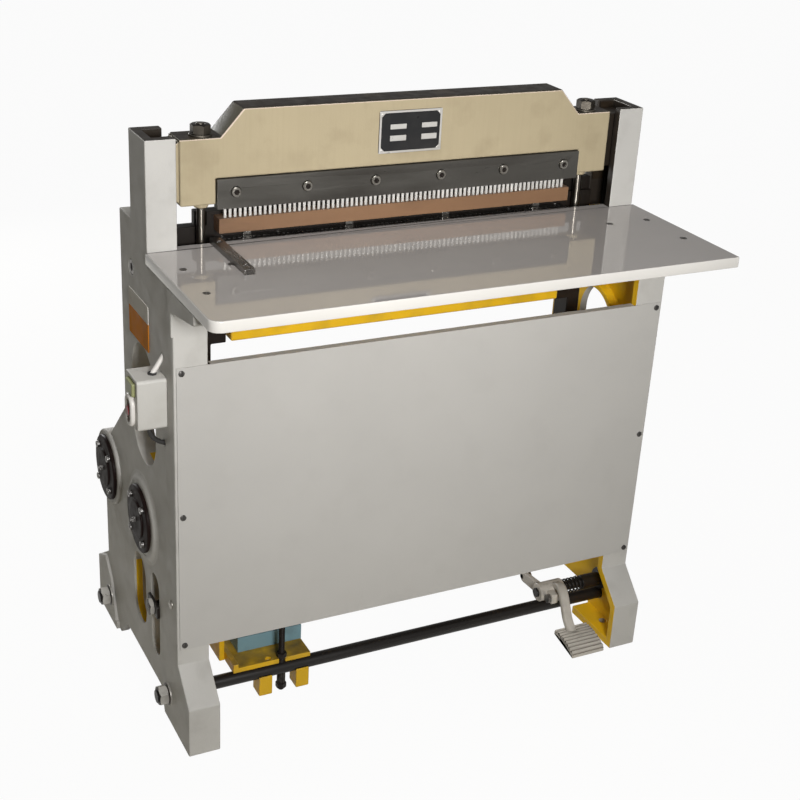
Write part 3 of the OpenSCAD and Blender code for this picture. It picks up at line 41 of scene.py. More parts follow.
# Camera: it stands left of the middle, higher than the ram, and looks down on the table.
# Place, turn and lens are the photograph's own, and the picture leans a little to one side.

def sight(azimuth, elevation, roll):
    """Right, up and forward of a camera that looks along azimuth from +Y, down by elevation, and is rolled."""
    a, e, r = np.radians((azimuth, elevation, roll))
    ahead = np.array((np.sin(a) * np.cos(e), np.cos(a) * np.cos(e), -np.sin(e)))
    level = np.array((np.cos(a), -np.sin(a), 0.0))
    over = np.cross(level, ahead)
    return level * np.cos(r) + over * np.sin(r), over * np.cos(r) - level * np.sin(r), ahead


camera_right, camera_up, camera_ahead = sight(27.657, 24.611, 3.318)
stand = np.eye(4)
stand[:3, 0], stand[:3, 1], stand[:3, 2] = camera_right, camera_up, -camera_ahead
stand[:3, 3] = (-1.05116, -2.09986, 1.55097)
camera = bpy.data.objects.new("camera", bpy.data.cameras.new("camera"))
camera.data.sensor_width = 36.0
camera.data.lens = 63.76
camera.matrix_world = Matrix(stand.tolist())
bpy.context.scene.collection.objects.link(camera)
bpy.context.scene.camera = camera


# Floor: a plain pale studio floor, wide enough to fill the picture behind the machine.
# Seen straight on or in polished metal it is near white, and it keeps the machine's shadow.

def blank(name):
    """A new material with no nodes; gives the material, its node maker and its linker."""
    material = bpy.data.materials.new(name)
    material.use_nodes = True
    material.node_tree.nodes.clear()
    return material, material.node_tree.nodes.new, material.node_tree.links.new


def sums(maker, wirer, kind, first, second=None):
    """One arithmetic step on outputs or plain numbers, kept between 0 and 1 where its name ends in a bar."""
    step = maker("ShaderNodeMath")
    step.operation, step.use_clamp = kind.rstrip("|"), kind.endswith("|")
    for place, value in enumerate((first, second)):
        if hasattr(value, "links"):
            wirer(value, step.inputs[place])
        elif value is not None:
            step.inputs[place].default_value = value
    return step.outputs[0]


def link(mesh, name, material):
    """Puts a mesh into the scene as an object at the origin, with one material."""
    made = bpy.data.objects.new(name, mesh)
    made.data.materials.append(material)
    bpy.context.scene.collection.objects.link(made)
    return made


floor_paper, maker, wirer = blank("floor_paper")
matt = maker("ShaderNodeBsdfDiffuse")
matt.inputs["Color"].default_value = (0.53, 0.50, 0.42, 1)
glow = maker("ShaderNodeEmission")
glow.inputs["Color"].default_value = (1, 1, 1, 1)
ray = maker("ShaderNodeLightPath").outputs
mirrored = sums(maker, wirer, "MULTIPLY", ray["Is Glossy Ray"], 0.5)
looked_at = sums(maker, wirer, "ADD", ray["Is Camera Ray"], ray["Is Transmission Ray"])
looked_at = sums(maker, wirer, "ADD|", looked_at, mirrored)
both_ways = maker("ShaderNodeMixShader")
wirer(sums(maker, wirer, "MULTIPLY", looked_at, 0.96), both_ways.inputs[0])
wirer(matt.outputs[0], both_ways.inputs[1])
wirer(glow.outputs[0], both_ways.inputs[2])
wirer(both_ways.outputs[0], maker("ShaderNodeOutputMaterial").inputs["Surface"])
ground = bpy.data.meshes.new("floor")
ground.from_pydata([(-14, -14, -0.0004), (14, -14, -0.0004), (14, 14, -0.0004), (-14, 14, -0.0004)], [],
                   [(0, 1, 2, 3)])
link(ground, "floor", floor_paper)


# Lights: one soft lamp in front, just outside the left side, so that the fronts are bright and the left
# side is in shade; weak ones above and behind; and an even surround, warm where it only lights.

def lamp(name, place, aim, size, power, spread=180):
    """A square soft lamp at place that faces aim, its light spread over that angle."""
    made = bpy.data.objects.new(name, bpy.data.lights.new(name, "AREA"))
    made.data.size, made.data.energy, made.data.spread = size, power, np.radians(spread)
    out = np.array(aim, float) - np.array(place, float)
    out /= np.linalg.norm(out)
    side = np.cross(out, (0, 0, 1))
    side /= np.linalg.norm(side)
    turn = np.eye(4)
    turn[:3, 0], turn[:3, 1], turn[:3, 2], turn[:3, 3] = side, np.cross(side, out), -out, place
    made.matrix_world = Matrix(turn.tolist())
    bpy.context.scene.collection.objects.link(made)


lamp("front_lamp", (-0.52, -2.35, 1.42), (0.0, -0.15, 0.98), 0.5, 17.3, 100)
lamp("top_lamp", (-0.45, -0.5, 2.7), (-0.35, -0.25, 0.8), 0.8, 15)
lamp("back_lamp", (-0.38, 2.6, 0.9), (0.1, 0.1, 0.5), 0.7, 24)
surround = bpy.data.worlds.new("surround")
bpy.context.scene.world = surround
surround.use_nodes = True
surround.node_tree.nodes.clear()
maker, wirer = surround.node_tree.nodes.new, surround.node_tree.links.new
ray = maker("ShaderNodeLightPath").outputs
straight = sums(maker, wirer, "ADD", ray["Is Camera Ray"], ray["Is Transmission Ray"])
looked_at = sums(maker, wirer, "ADD|", straight, ray["Is Glossy Ray"])
tint = maker("ShaderNodeMix")
tint.data_type = "RGBA"
tint.inputs[6].default_value, tint.inputs[7].default_value = (1.0, 0.93, 0.68, 1), (1.0, 0.98, 0.95, 1)
wirer(looked_at, tint.inputs[0])
sky = maker("ShaderNodeBackground")
wirer(tint.outputs[2], sky.inputs["Color"])
strength = sums(maker, wirer, "ADD", sums(maker, wirer, "MULTIPLY", looked_at, 0.26), 0.045)
strength = sums(maker, wirer, "ADD", strength, sums(maker, wirer, "MULTIPLY", straight, 0.66))
wirer(strength, sky.inputs["Strength"])
wirer(sky.outputs[0], maker("ShaderNodeOutputWorld").inputs["Surface"])


# Side frames: two iron castings, light grey enamel outside and yellow inside, with soft cast edges.
# Each is one pour with its flanges, feet, window rim and bearing bosses; the paint is brushed on.

def grain(maker, wirer, spot, size, detail, low, high, stretch=(1, 1, 1)):
    """Noise whose grain is about that size in metres, longer by stretch along an axis, spread from low to high."""
    across = maker("ShaderNodeMapping")
    across.inputs["Scale"].default_value = [1.0 / (size * s) for s in stretch]
    wirer(spot, across.inputs["Vector"])
    noise = maker("ShaderNodeTexNoise")
    noise.inputs["Scale"].default_value = 1.0
    noise.inputs["Detail"].default_value = detail
    wirer(across.outputs[0], noise.inputs["Vector"])
    spread = maker("ShaderNodeMapRange")
    for socket, value in (("From Min", 0.3), ("From Max", 0.7), ("To Min", low), ("To Max", high)):
        spread.inputs[socket].default_value = value
    wirer(noise.outputs["Fac"], spread.inputs["Value"])
    return spread.outputs["Result"]


def mixed(maker, wirer, share, first, second):
    """Two colours mixed by a share; a colour is three numbers or an output."""
    blend = maker("ShaderNodeMix")
    blend.data_type = "RGBA"
    for value, place in ((share, 0), (first, 6), (second, 7)):
        if hasattr(value, "links"):
            wirer(value, blend.inputs[place])
        else:
            blend.inputs[place].default_value = (*value, 1)
    return blend.outputs[2]


def coating(name, colour, rough=0.42, mottle=0.05, peel=0.00015, grime=0.25, soil=(0.13, 0.11, 0.085),
            second=(), metal=0.0, coat=0.0, gloss=0.5, stretch=(1, 1, 1), chips=0.0, uneven=0.09):
    """Paint or metal: slow mottling of its colour, soil in patches, chips along convex edges but not on flat
    sides, a fine bump and uneven gloss. Each layer of second gives a colour over it and that colour's share."""
    material, maker, wirer = blank(name)
    where = maker("ShaderNodeTexCoord")
    spot = where.outputs["Object"]
    base = colour
    for layer in second:
        over, share = layer(maker, wirer, where)
        base = mixed(maker, wirer, share, base, over)
    shade = maker("ShaderNodeVectorMath")
    shade.operation = "SCALE"
    if hasattr(base, "links"):
        wirer(base, shade.inputs[0])
    else:
        shade.inputs[0].default_value = base
    wirer(grain(maker, wirer, spot, 0.16, 4, 1.0 - mottle, 1.0 + mottle, stretch), shade.inputs["Scale"])
    dirt = grain(maker, wirer, spot, 0.05, 7, -1.1 * grime, grime, stretch)
    skin_colour = mixed(maker, wirer, sums(maker, wirer, "MAXIMUM", dirt, 0.0), shade.outputs[0], soil)
    if chips:
        ridge = sums(maker, wirer, "SUBTRACT", maker("ShaderNodeNewGeometry").outputs["Pointiness"], 0.53)
        ridge = sums(maker, wirer, "MULTIPLY", ridge, 14.0)
        worn = sums(maker, wirer, "MULTIPLY|", ridge, grain(maker, wirer, spot, 0.012, 6, -chips, 2 * chips))
        square = 0.0
        for part in spread_out(maker, wirer, where)[1]:
            square = sums(maker, wirer, "MAXIMUM", square, sums(maker, wirer, "ABSOLUTE", part))
        worn = both(maker, wirer, worn, below(maker, wirer, square, 0.99))
        skin_colour = mixed(maker, wirer, worn, skin_colour, (0.2, 0.19, 0.17))
    surface = maker("ShaderNodeBsdfPrincipled")
    surface.inputs["Metallic"].default_value = metal
    surface.inputs["Specular IOR Level"].default_value = gloss
    surface.inputs["Coat Weight"].default_value = coat
    surface.inputs["Coat Roughness"].default_value = 0.04
    wirer(skin_colour, surface.inputs["Base Color"])
    wirer(grain(maker, wirer, spot, 0.02, 5, rough - uneven, rough + uneven, stretch), surface.inputs["Roughness"])
    bump = maker("ShaderNodeBump")
    bump.inputs["Strength"].default_value = 0.5
    bump.inputs["Distance"].default_value = peel
    wirer(grain(maker, wirer, spot, 0.003, 3, 0.0, 1.0, stretch), bump.inputs["Height"])
    wirer(bump.outputs[0], surface.inputs["Normal"])
    wirer(surface.outputs[0], maker("ShaderNodeOutputMaterial").inputs["Surface"])
    return material


def declare(piece, body, slot, *nodes):
    """Lets a piece move with a body and stand for its solids; its slot is not used."""
    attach(piece, body)
    if nodes:
        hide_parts(*nodes)
    return piece


def eased_edges(piece, width, rounds):
    """Rounds a piece's sharp edges by width, with smooth shading across them."""
    edge = piece.modifiers.new("eased_edges", "BEVEL")
    edge.width, edge.segments = width, rounds
    edge.limit_method, edge.angle_limit = "ANGLE", np.radians(38)
    edge.use_clamp_overlap = False
    edge.harden_normals = True


def smooth(mesh, sharp):
    """Smooth shading, broken where two faces meet at more than sharp degrees."""
    mesh.polygons.foreach_set("use_smooth", np.ones(len(mesh.polygons), bool))
    mesh.set_sharp_from_angle(angle=np.radians(sharp))


def softened(name, body, slot, material, width, rounds=2):
    """A copy of a solid with its triangles merged into flat faces and its sharp edges rounded by width in metres."""
    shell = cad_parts[name].data.copy()
    work = bmesh.new()
    work.from_mesh(shell)
    bmesh.ops.remove_doubles(work, verts=work.verts, dist=2e-6)
    bmesh.ops.dissolve_limit(work, angle_limit=np.radians(0.6), verts=work.verts, edges=work.edges)
    work.to_mesh(shell)
    work.free()
    shell.materials.clear()
    smooth(shell, 34)
    piece = link(shell, name + "_soft", material)
    eased_edges(piece, width, rounds)
    return declare(piece, body, slot, name)


def skin(points, ring=False):
    """Faces of a grid whose rows are closed loops, with flat ends, or with the last row joined to the first."""
    points = np.asarray(points, float)
    rows, cols = points.shape[:2]
    i, j = np.meshgrid(np.arange(rows if ring else rows - 1), np.arange(cols), indexing="ij")
    k, l = (i + 1) % rows, (j + 1) % cols
    faces = np.stack((i * cols + j, i * cols + l, k * cols + l, k * cols + j), -1).reshape(-1, 4).tolist()
    if not ring:
        faces += [list(range(cols)), list(range((rows - 1) * cols, rows * cols))]
    return points.reshape(-1, 3), faces


origin_y = 212.5


def put(name, skins, body, slot, material, *nodes):
    """Joins skins, in millimetres from the side frames' front face, into one piece in metres about the foot
    bolts. Each skin is closed, its doubles are merged and its faces point outwards."""
    whole = bmesh.new()
    for points, faces in skins:
        part = bpy.data.meshes.new(name)
        part.from_pydata(((points - (0, origin_y, 0)) / 1000).tolist(), [], faces)
        work = bmesh.new()
        work.from_mesh(part)
        bmesh.ops.remove_doubles(work, verts=work.verts, dist=2e-6)
        bmesh.ops.recalc_face_normals(work, faces=work.faces)
        work.to_mesh(part)
        work.free()
        whole.from_mesh(part)
        bpy.data.meshes.remove(part)
    mesh = bpy.data.meshes.new(name)
    whole.to_mesh(mesh)
    whole.free()
    smooth(mesh, 36)
    return declare(link(mesh, name, material), body, slot, *nodes)


def turned(rows, centre, axis, count=48, ring=False):
    """A turned shape: each row goes round the axis through centre, at that distance along it and that radius.
    Distance and radius may change round the turn; the angle counts from the axis that follows, x y z x."""
    t = np.linspace(0, 2 * np.pi, count, endpoint=False)
    axis = np.array(axis, float)
    first, other = np.roll(np.abs(axis), 1), np.roll(np.abs(axis), 2)
    along = np.array([row[0] + 0 * t for row in rows])[..., None]
    radius = np.array([row[1] + 0 * t for row in rows])[..., None]
    ways = np.cos(t)[:, None] * first + np.sin(t)[:, None] * other
    return skin(np.array(centre, float) + along * axis + radius * ways, ring)


def above(maker, wirer, value, limit):
    """One where a value is more than a limit, nought elsewhere."""
    return sums(maker, wirer, "GREATER_THAN", value, limit)


def below(maker, wirer, value, limit):
    """One where a value is less than a limit, nought elsewhere."""
    return sums(maker, wirer, "LESS_THAN", value, limit)


def both(maker, wirer, first, *others):
    """The product of shares: what lies in all of them."""
    for other in others:
        first = sums(maker, wirer, "MULTIPLY", first, other)
    return first


def within(maker, wirer, value, low, high):
    """One where a value lies between two limits, nought elsewhere."""
    return both(maker, wirer, above(maker, wirer, value, low), below(maker, wirer, value, high))


def spread_out(maker, wirer, where):
    """Place and facing of a surface point, each as its three parts."""
    place, facing = maker("ShaderNodeSeparateXYZ"), maker("ShaderNodeSeparateXYZ")
    wirer(where.outputs["Object"], place.inputs[0])
    wirer(where.outputs["Normal"], facing.inputs[0])
    return place.outputs, facing.outputs


web_inner = 0.4343


def yellow_inside(maker, wirer, where):
    """The yellow: on what lies between the webs' inner faces and the flanges' inner edges, behind the front
    faces, in front of the back ones and below the table, and on the walls of the lower oval holes.
    In the right frame what faces forwards behind the front flange is yellow too."""
    place, facing = spread_out(maker, wirer, where)
    out = sums(maker, wirer, "ABSOLUTE", place["X"])
    share = both(maker, wirer, within(maker, wirer, out, 0.30, web_inner), below(maker, wirer, place["Z"], 0.808))
    inner = both(maker, wirer, above(maker, wirer, place["Y"], -0.15),
                 within(maker, wirer, place["X"], 0.35, web_inner))
    inner = sums(maker, wirer, "ADD|", inner, above(maker, wirer, facing["Y"], -0.35))
    rear = both(maker, wirer, above(maker, wirer, facing["Y"], 0.5), above(maker, wirer, place["Y"], 0.1))
    share = sums(maker, wirer, "SUBTRACT|", both(maker, wirer, share, inner), rear)
    hole = both(maker, wirer, within(maker, wirer, place["Y"], -0.0385, 0.0335),
                within(maker, wirer, place["Z"], 0.108, 0.215), below(maker, wirer, out, 0.4458))
    return (0.86, 0.52, 0.011), sums(maker, wirer, "ADD|", share, hole)


def shaded_tops(maker, wirer, where):
    """Painted shade on the tops: what faces upwards, above the table, is coloured near black."""
    place, facing = spread_out(maker, wirer, where)
    share = both(maker, wirer, above(maker, wirer, facing["Z"], 0.8), above(maker, wirer, place["Z"], 0.9))
    return (0.02, 0.016, 0.013), share


def shaded_guides(maker, wirer, where):
    """Painted shade on the uprights' inner faces above the table, where the ram runs; not on their fronts and backs."""
    place, facing = spread_out(maker, wirer, where)
    out = sums(maker, wirer, "ABSOLUTE", place["X"])
    share = both(maker, wirer, within(maker, wirer, out, 0.39, web_inner), above(maker, wirer, place["Z"], 0.813))
    front = both(maker, wirer, below(maker, wirer, facing["Y"], -0.6), below(maker, wirer, place["Y"], -0.08))
    share = sums(maker, wirer, "SUBTRACT|", share, front)
    return (0.022, 0.017, 0.013), both(maker, wirer, share, below(maker, wirer, place["Y"], -0.0055))


# The grey paint carries painted shade: near black on the uprights' inner faces above the table and on upward faces
# above the table.
casting_paint = coating("casting_paint", (0.55, 0.535, 0.505), rough=0.46, grime=0.12, chips=0.3, gloss=0.3,
                        second=[yellow_inside, shaded_guides, shaded_tops])
softened("left_frame", "frame", "frame_paint", casting_paint, 0.002, 3)
softened("right_frame", "frame", "frame_paint", casting_paint, 0.002, 3)
crank_y, counter_y, shaft_z = 176, 378.5, 338
flare = [(-1.0, 86), (0.05, 84), (0.6, 79), (1.8, 75.6), (3.6, 73.4), (5.0, 71.4), (5.8, 68.6), (6.0, 65.6),
         (-1.0, 65.6)]
collar = [(-15.5, 65.6), (-15.8, 68.6), (-14.6, 69.8), (3.6, 69.8), (5.2, 68.6), (5.9, 66.8), (6.0, 65.6)]
put("boss_flares", [turned(rows, (side * 450, y, shaft_z), (side, 0, 0), 96, ring=True) for side in (-1, 1)
                    for rows, y in ((flare, crank_y), (collar, counter_y))], "frame", "frame_paint", casting_paint)


# Tie rods: two round steel bars through the feet, painted black, their ends threaded.
# A plain washer and a bright hexagon nut on each end pull the castings together.

def six(apothem, count=48):
    """Radius of a hexagon round a turn: its apothem over the cosine of the angle from the nearest flat's middle."""
    t = np.linspace(0, 2 * np.pi, count, endpoint=False)
    return apothem / np.cos((t + np.pi / 6) % (np.pi / 3) - np.pi / 6)


def hex_nut(centre, axis, low, high, corner, bore):
    """A hexagon nut: its ends are cut by a cone of 30 degrees, so that the corners stand lower than the flats."""
    apothem = corner * np.cos(np.pi / 6)
    radius = six(apothem)
    drop = (radius - apothem * 0.985) * np.tan(np.pi / 6)
    return turned([(low, bore), (low, apothem * 0.985), (low + drop, radius), (high - drop, radius),
                   (high, apothem * 0.985), (high, bore * 1.08), (high - bore * 0.08, bore)],
                  centre, axis, ring=True)


def threaded(centre, axis, low, high, radius, pitch, count=24):
    """A threaded bar: its radius falls and rises once to a pitch, and the ridge climbs one pitch to a turn."""
    t = np.linspace(0, 2 * np.pi, count, endpoint=False)
    steps = np.arange(low, high, pitch / 6)
    ridge = [(z, radius - 0.28 * pitch * (1 - np.cos(2 * np.pi * (z / pitch - t / (2 * np.pi))))) for z in steps]
    return turned([(low, radius * 0.86)] + ridge + [(high, radius * 0.84)], centre, axis, count)


black_enamel = coating("black_enamel", (0.013, 0.0095, 0.008), rough=0.40, gloss=0.2, grime=0.3,
                       soil=(0.035, 0.027, 0.02), chips=0.12)
bar_black = coating("bar_black", (0.014, 0.012, 0.011), rough=0.34, gloss=0.35, grime=0.25, soil=(0.03, 0.025, 0.02),
                    stretch=(9, 1, 1))


def shaded_nut_sides(maker, wirer, where):
    """Painted shade on the outer ends of the nuts and bolts at the sides: what faces sideways is coloured near black.
    """
    facing = spread_out(maker, wirer, where)[1]
    return (0.035, 0.028, 0.022), above(maker, wirer, sums(maker, wirer, "ABSOLUTE", facing["X"]), 0.7)


# The nut steel carries painted shade on its sideways faces.
nut_steel = coating("nut_steel", (0.62, 0.60, 0.56), rough=0.34, metal=0.6, grime=0.4, soil=(0.10, 0.08, 0.06),
                    second=[shaded_nut_sides])
tie_places = [(53, 450), (392, 456)]
bars, nuts = [], []
for tie_y, face in tie_places:
    bars.append(turned([(-face + 1, 10), (-face + 1, 12), (face - 1, 12), (face - 1, 10)], (0, tie_y, 56),
                       (1, 0, 0), 40))
    for side in (-1, 1):
        spot = (side * face, tie_y, 56)
        bars.append(threaded(spot, (side, 0, 0), -2, 22.6, 12, 3.0))
        nuts.append(turned([(0, 12.2), (0, 20), (2.6, 20), (3.6, 18.4), (4, 16), (4, 12.2)], spot, (side, 0, 0),
                           ring=True))
        nuts.append(hex_nut(spot, (side, 0, 0), 4, 19.6, 18, 12))
put("tie_bars", bars, "frame", "black_paint", bar_black, "tie_rods")
put("tie_nuts", nuts, "frame", "bright_steel", nut_steel, "tie_rod_nuts")


# Bed: a hollow yellow casting under the die, closed at both ends, with ears that reach the side frames.
# Socket bolts go through the frames into the ears, their heads sunk in counterbores.

def socket_head(centre, axis, radius, low, high, count=48):
    """A socket cap head: a knurled side of fine waves, an eased rim and a hexagon hole half as deep."""
    t = np.linspace(0, 2 * np.pi, count, endpoint=False)
    knurl = radius * (1 + 0.012 * np.cos(count / 2 * t))
    hole, height = six(radius * 0.5, count), high - low
    return turned([(low, radius), (low + 0.1 * height, knurl), (high - 0.2 * height, knurl),
                   (high - 0.12 * height, radius), (high, radius * 0.9), (high, hole * 1.06),
                   (high - 0.06 * height, hole), (high - 0.55 * height, hole), (high - 0.6 * height, 0)],
                  centre, axis, count)


yellow_enamel = coating("yellow_enamel", (0.76, 0.45, 0.010), rough=0.42, mottle=0.07, grime=0.22,
                        soil=(0.12, 0.09, 0.04), chips=0.4)
socket_steel = coating("socket_steel", (0.30, 0.29, 0.28), rough=0.38, metal=1.0, grime=0.5,
                       soil=(0.05, 0.045, 0.04))
softened("bed_beam", "frame", "yellow_paint", yellow_enamel, 0.003, 3)
bed_spots = [((side * 450, 212, z), (side, 0, 0)) for side in (-1, 1) for z in (694, 778)]
bed_heads = [socket_head(*spot, 13, -9, -0.6) for spot in bed_spots]
bed_shanks = [turned([(-40, 7), (-39, 8), (-9, 8)], *spot, 24) for spot in bed_spots]
put("bed_socket_bolts", bed_heads + bed_shanks, "frame", "dark_steel", socket_steel, "bed_bolts")


# Bearings: turned bronze bushes pressed into the frames' bosses, covered by round black cast caps.
# Four socket screws hold each cap, and a grease nipple in its middle feeds the bearing.

bronze_metal = coating("bronze_metal", (0.50, 0.30, 0.12), rough=0.36, metal=1.0, grime=0.45,
                       soil=(0.07, 0.05, 0.03))
bushes = []
for y, bore, outer in ((crank_y, 25.3, 35), (counter_y, 20.3, 29)):
    bush_rows = [(-46, bore), (-46, outer - 0.8), (-45.2, outer), (-0.8, outer), (0, outer - 0.8), (0, bore)]
    bushes += [turned(bush_rows, (side * 456, y, shaft_z), (side, 0, 0), 96, ring=True) for side in (-1, 1)]
put("bronze_bushes", bushes, "frame", "bronze", bronze_metal, "bearing_bushes")
cap_black = coating("cap_black", (0.012, 0.006, 0.005), rough=0.46, gloss=0.06, grime=0.25, soil=(0.03, 0.02, 0.015))
cap_spots = [((side * 456, y, shaft_z), (side, 0, 0)) for side in (-1, 1) for y in (crank_y, counter_y)]
cap_rows = [(0, 60), (3.8, 60), (5.0, 59.4), (5.8, 57.8), (6, 56), (6, 36), (6.3, 34.9), (8.2, 34.4), (8.9, 33),
            (9, 30), (9, 8), (8.4, 0)]
put("black_caps", [turned(cap_rows, spot, axis, 72) for spot, axis in cap_spots], "frame", "black_paint",
    cap_black, "bearing_caps")
cap_fixings = []
for spot, axis in cap_spots:
    for a in np.radians((45, 135, 225, 315)):
        cap_fixings.append(socket_head(np.array(spot) + (0, 46 * np.cos(a), 46 * np.sin(a)), axis, 6, 5, 11, 36))
    cap_fixings.append(hex_nut(spot, axis, 9, 14, 5, 2.4))
    cap_fixings.append(turned([(8, 2.8), (14, 2.8), (15, 1.9), (15.8, 1.9), (16.8, 2.8), (17.6, 2.2), (18, 0)],
                              spot, axis, 20))
put("cap_fixings", cap_fixings, "frame", "bright_steel", socket_steel, "cap_screws")


# Crankshaft: a ground steel shaft with two eccentrics, which stand up at rest.
# It turns in the bronze bushes and drives the yokes.

shaft_steel = coating("shaft_steel", (0.46, 0.45, 0.43), rough=0.26, metal=1.0, grime=0.15, soil=(0.06, 0.05, 0.04),
                      stretch=(1, 6, 6))
softened("crankshaft", "crank", "bright_steel", shaft_steel, 0.001)


# Yokes: black bars whose lower windows ride on the eccentrics, each closed below by a bolted keeper.
# Their tops end under the table, where the pull rods are screwed in.

softened("yokes", "ram", "black_paint", black_enamel, 0.002)
softened("yoke_keepers", "ram", "dark_steel", socket_steel, 0.001)


# Pull rods: steel studs from the yoke bars up through the ram's shoulders.
# A washer and a tall nut clamp the ram on each, and a second nut locks the rod on the bar.

rod_steel = coating("rod_steel", (0.17, 0.155, 0.135), rough=0.32, metal=1.0, grime=0.5, soil=(0.07, 0.055, 0.04),
                    stretch=(1, 1, 8))
studs, stud_nuts = [], []
for side in (-1, 1):
    spot = (side * 351, 158, 0)
    studs += [turned([(730, 6), (731, 7), (975, 7)], spot, (0, 0, 1), 28),
              threaded(spot, (0, 0, 1), 975, 1018.7, 7, 1.75, 20)]
    stud_nuts += [turned([(999, 7.1), (999, 18.4), (1001, 18.4), (1002, 17.2), (1002, 7.1)], spot, (0, 0, 1),
                         ring=True),
                  hex_nut(spot, (0, 0, 1), 1002, 1016.7, 16.4, 7), hex_nut(spot, (0, 0, 1), 790, 804.7, 16.4, 7)]
put("pull_studs", studs, "ram", "bright_steel", rod_steel, "pull_rods")
# The pull nuts' upward faces carry painted shade.
oiled_steel_shaded_tops = coating("oiled_steel_shaded_tops", (0.13, 0.115, 0.095), rough=0.36, metal=0.9, grime=0.5, soil=(0.02, 0.016, 0.012),
                      second=[shaded_tops])
put("pull_nuts", stud_nuts, "ram", "bright_steel", oiled_steel_shaded_tops, "pull_rod_nuts")


# Gear and clutch collar: a spoked cast wheel that runs free on the crankshaft until the clutch takes it.
# Both are grey iron, oiled and dark between the teeth; a plain collar keeps the wheel in place.

grey_casting = coating("grey_casting", (0.19, 0.18, 0.17), rough=0.45, metal=0.85, grime=0.6,
                       soil=(0.035, 0.028, 0.02), peel=0.0003)
softened("main_gear", "gear", "grey_iron", grey_casting, 0.0006)
softened("clutch_collar", "crank", "grey_iron", socket_steel, 0.001)


# Countershaft: a steel shaft at the back with the pinion on its right and the belt flywheel on its left.
# The flywheel is a painted casting with two grooves and a turned rim.

softened("countershaft", "counter", "bright_steel", shaft_steel, 0.001)
softened("pinion", "counter", "grey_iron", grey_casting, 0.0005)
softened("flywheel", "counter", "black_paint", black_enamel, 0.0012)


# Motor: a finned blue body on a base block with a fan cowl at its left end and a terminal box on top.
# Cast aluminium, sprayed; the pulley on its shaft is turned steel.

blue_enamel = coating("blue_enamel", (0.18, 0.31, 0.36), rough=0.42, grime=0.35, soil=(0.05, 0.05, 0.045), chips=0.3)
softened("motor_body", "frame", "blue_paint", blue_enamel, 0.0008)
softened("fan_cowl", "frame", "blue_paint", blue_enamel, 0.0025, 3)
softened("terminal_box", "frame", "blue_paint", blue_enamel, 0.003, 3)
softened("motor_pulley", "rotor", "bright_steel", shaft_steel, 0.0008)


# Motor plate: a yellow steel plate hinged on the front tie rod, with lugs under the rod and a bolt through it.
# A bent strap at its left goes up to the slot in the frame, where a bolt with a wide washer sets the belts'
# tension. A round-headed screw is set in the web beside it.

def eased(points, reach, loop=False, steps=6):
    """Rounds each corner of a broken line by an arc that touches both legs at that reach from the corner,
    or at half of the shorter leg where that is less."""
    p = np.asarray(points, float)
    before, after = np.roll(p, 1, 0) - p, np.roll(p, -1, 0) - p
    if not loop:
        before[0], after[-1] = -after[0], -before[-1]
    back, on = np.linalg.norm(before, axis=1)[:, None], np.linalg.norm(after, axis=1)[:, None]
    room_back, room_on = 0.499 * back, 0.499 * on
    if not loop:
        room_back[1], room_on[-2] = 0.998 * back[1], 0.998 * on[-2]
    u, v = before / back, after / on
    half = np.arccos(np.clip((u * v).sum(1), -1, 1))[:, None] / 2
    bent = half < 1.56
    reach = np.minimum(reach, np.minimum(room_back, room_on))
    middle = (u + v) / np.maximum(np.linalg.norm(u + v, axis=1)[:, None], 1e-9)
    side = (v - u) / np.linalg.norm(v - u, axis=1)[:, None]
    radius = reach * np.tan(np.where(bent, half, 0))
    centre = p + middle * reach / np.cos(np.where(bent, half, 0))
    s = np.linspace(-1, 1, steps + 1)[:, None, None] * (np.pi / 2 - half)
    arc = np.where(bent, centre - middle * radius * np.cos(s) + side * radius * np.sin(s), p)
    flat = arc.transpose(1, 0, 2).reshape(-1, p.shape[1])
    fresh = np.ones(len(flat), bool)
    fresh[1:] = np.linalg.norm(np.diff(flat, axis=0), axis=1) > 1e-6
    return flat[fresh]


def plate(outline, low, high, axis, edge=0.5, steps=3):
    """A flat plate: its outline at every level along an axis, drawn in towards both faces by a quarter round.
    A narrow flat border then keeps the faces' shading flat.
    The outline counts in the two axes that follow, x y z x."""
    o = np.asarray(outline, float)
    way = np.roll(o, -1, 0) - np.roll(o, 1, 0)
    out = np.stack((way[:, 1], -way[:, 0]), 1) / np.linalg.norm(way, axis=1)[:, None]
    q = np.linspace(0, np.pi / 2, steps + 1)
    inset = edge * np.concatenate(((1.6,), 1 - np.sin(q), 1 - np.cos(q), (1.6,)))[:, None, None]
    level = np.concatenate(((low,), low + edge * (1 - np.cos(q)), high - edge * (1 - np.sin(q)), (high,)))
    flat = o - out * inset
    height = np.broadcast_to(level[:, None, None], (*flat.shape[:2], 1))
    return skin(np.roll(np.concatenate((flat, height), 2), {"z": 0, "x": 1, "y": 2}[axis], axis=2))


def rectangle(a, b, radius):
    """Outline of a rectangle with round corners, from its range on each axis, counted counter-clockwise."""
    return eased([(a[0], b[0]), (a[1], b[0]), (a[1], b[1]), (a[0], b[1])], radius, True)


def dust_and_shade(maker, wirer, where):
    """Oil and dust, together with painted shade, on what faces upwards: brown, thick in the middle of each patch."""
    facing = spread_out(maker, wirer, where)[1]
    cover = sums(maker, wirer, "ADD|", grain(maker, wirer, where.outputs["Object"], 0.03, 4, -0.2, 0.5), 0.45)
    return (0.13, 0.085, 0.012), both(maker, wirer, cover, above(maker, wirer, facing["Z"], 0.6))
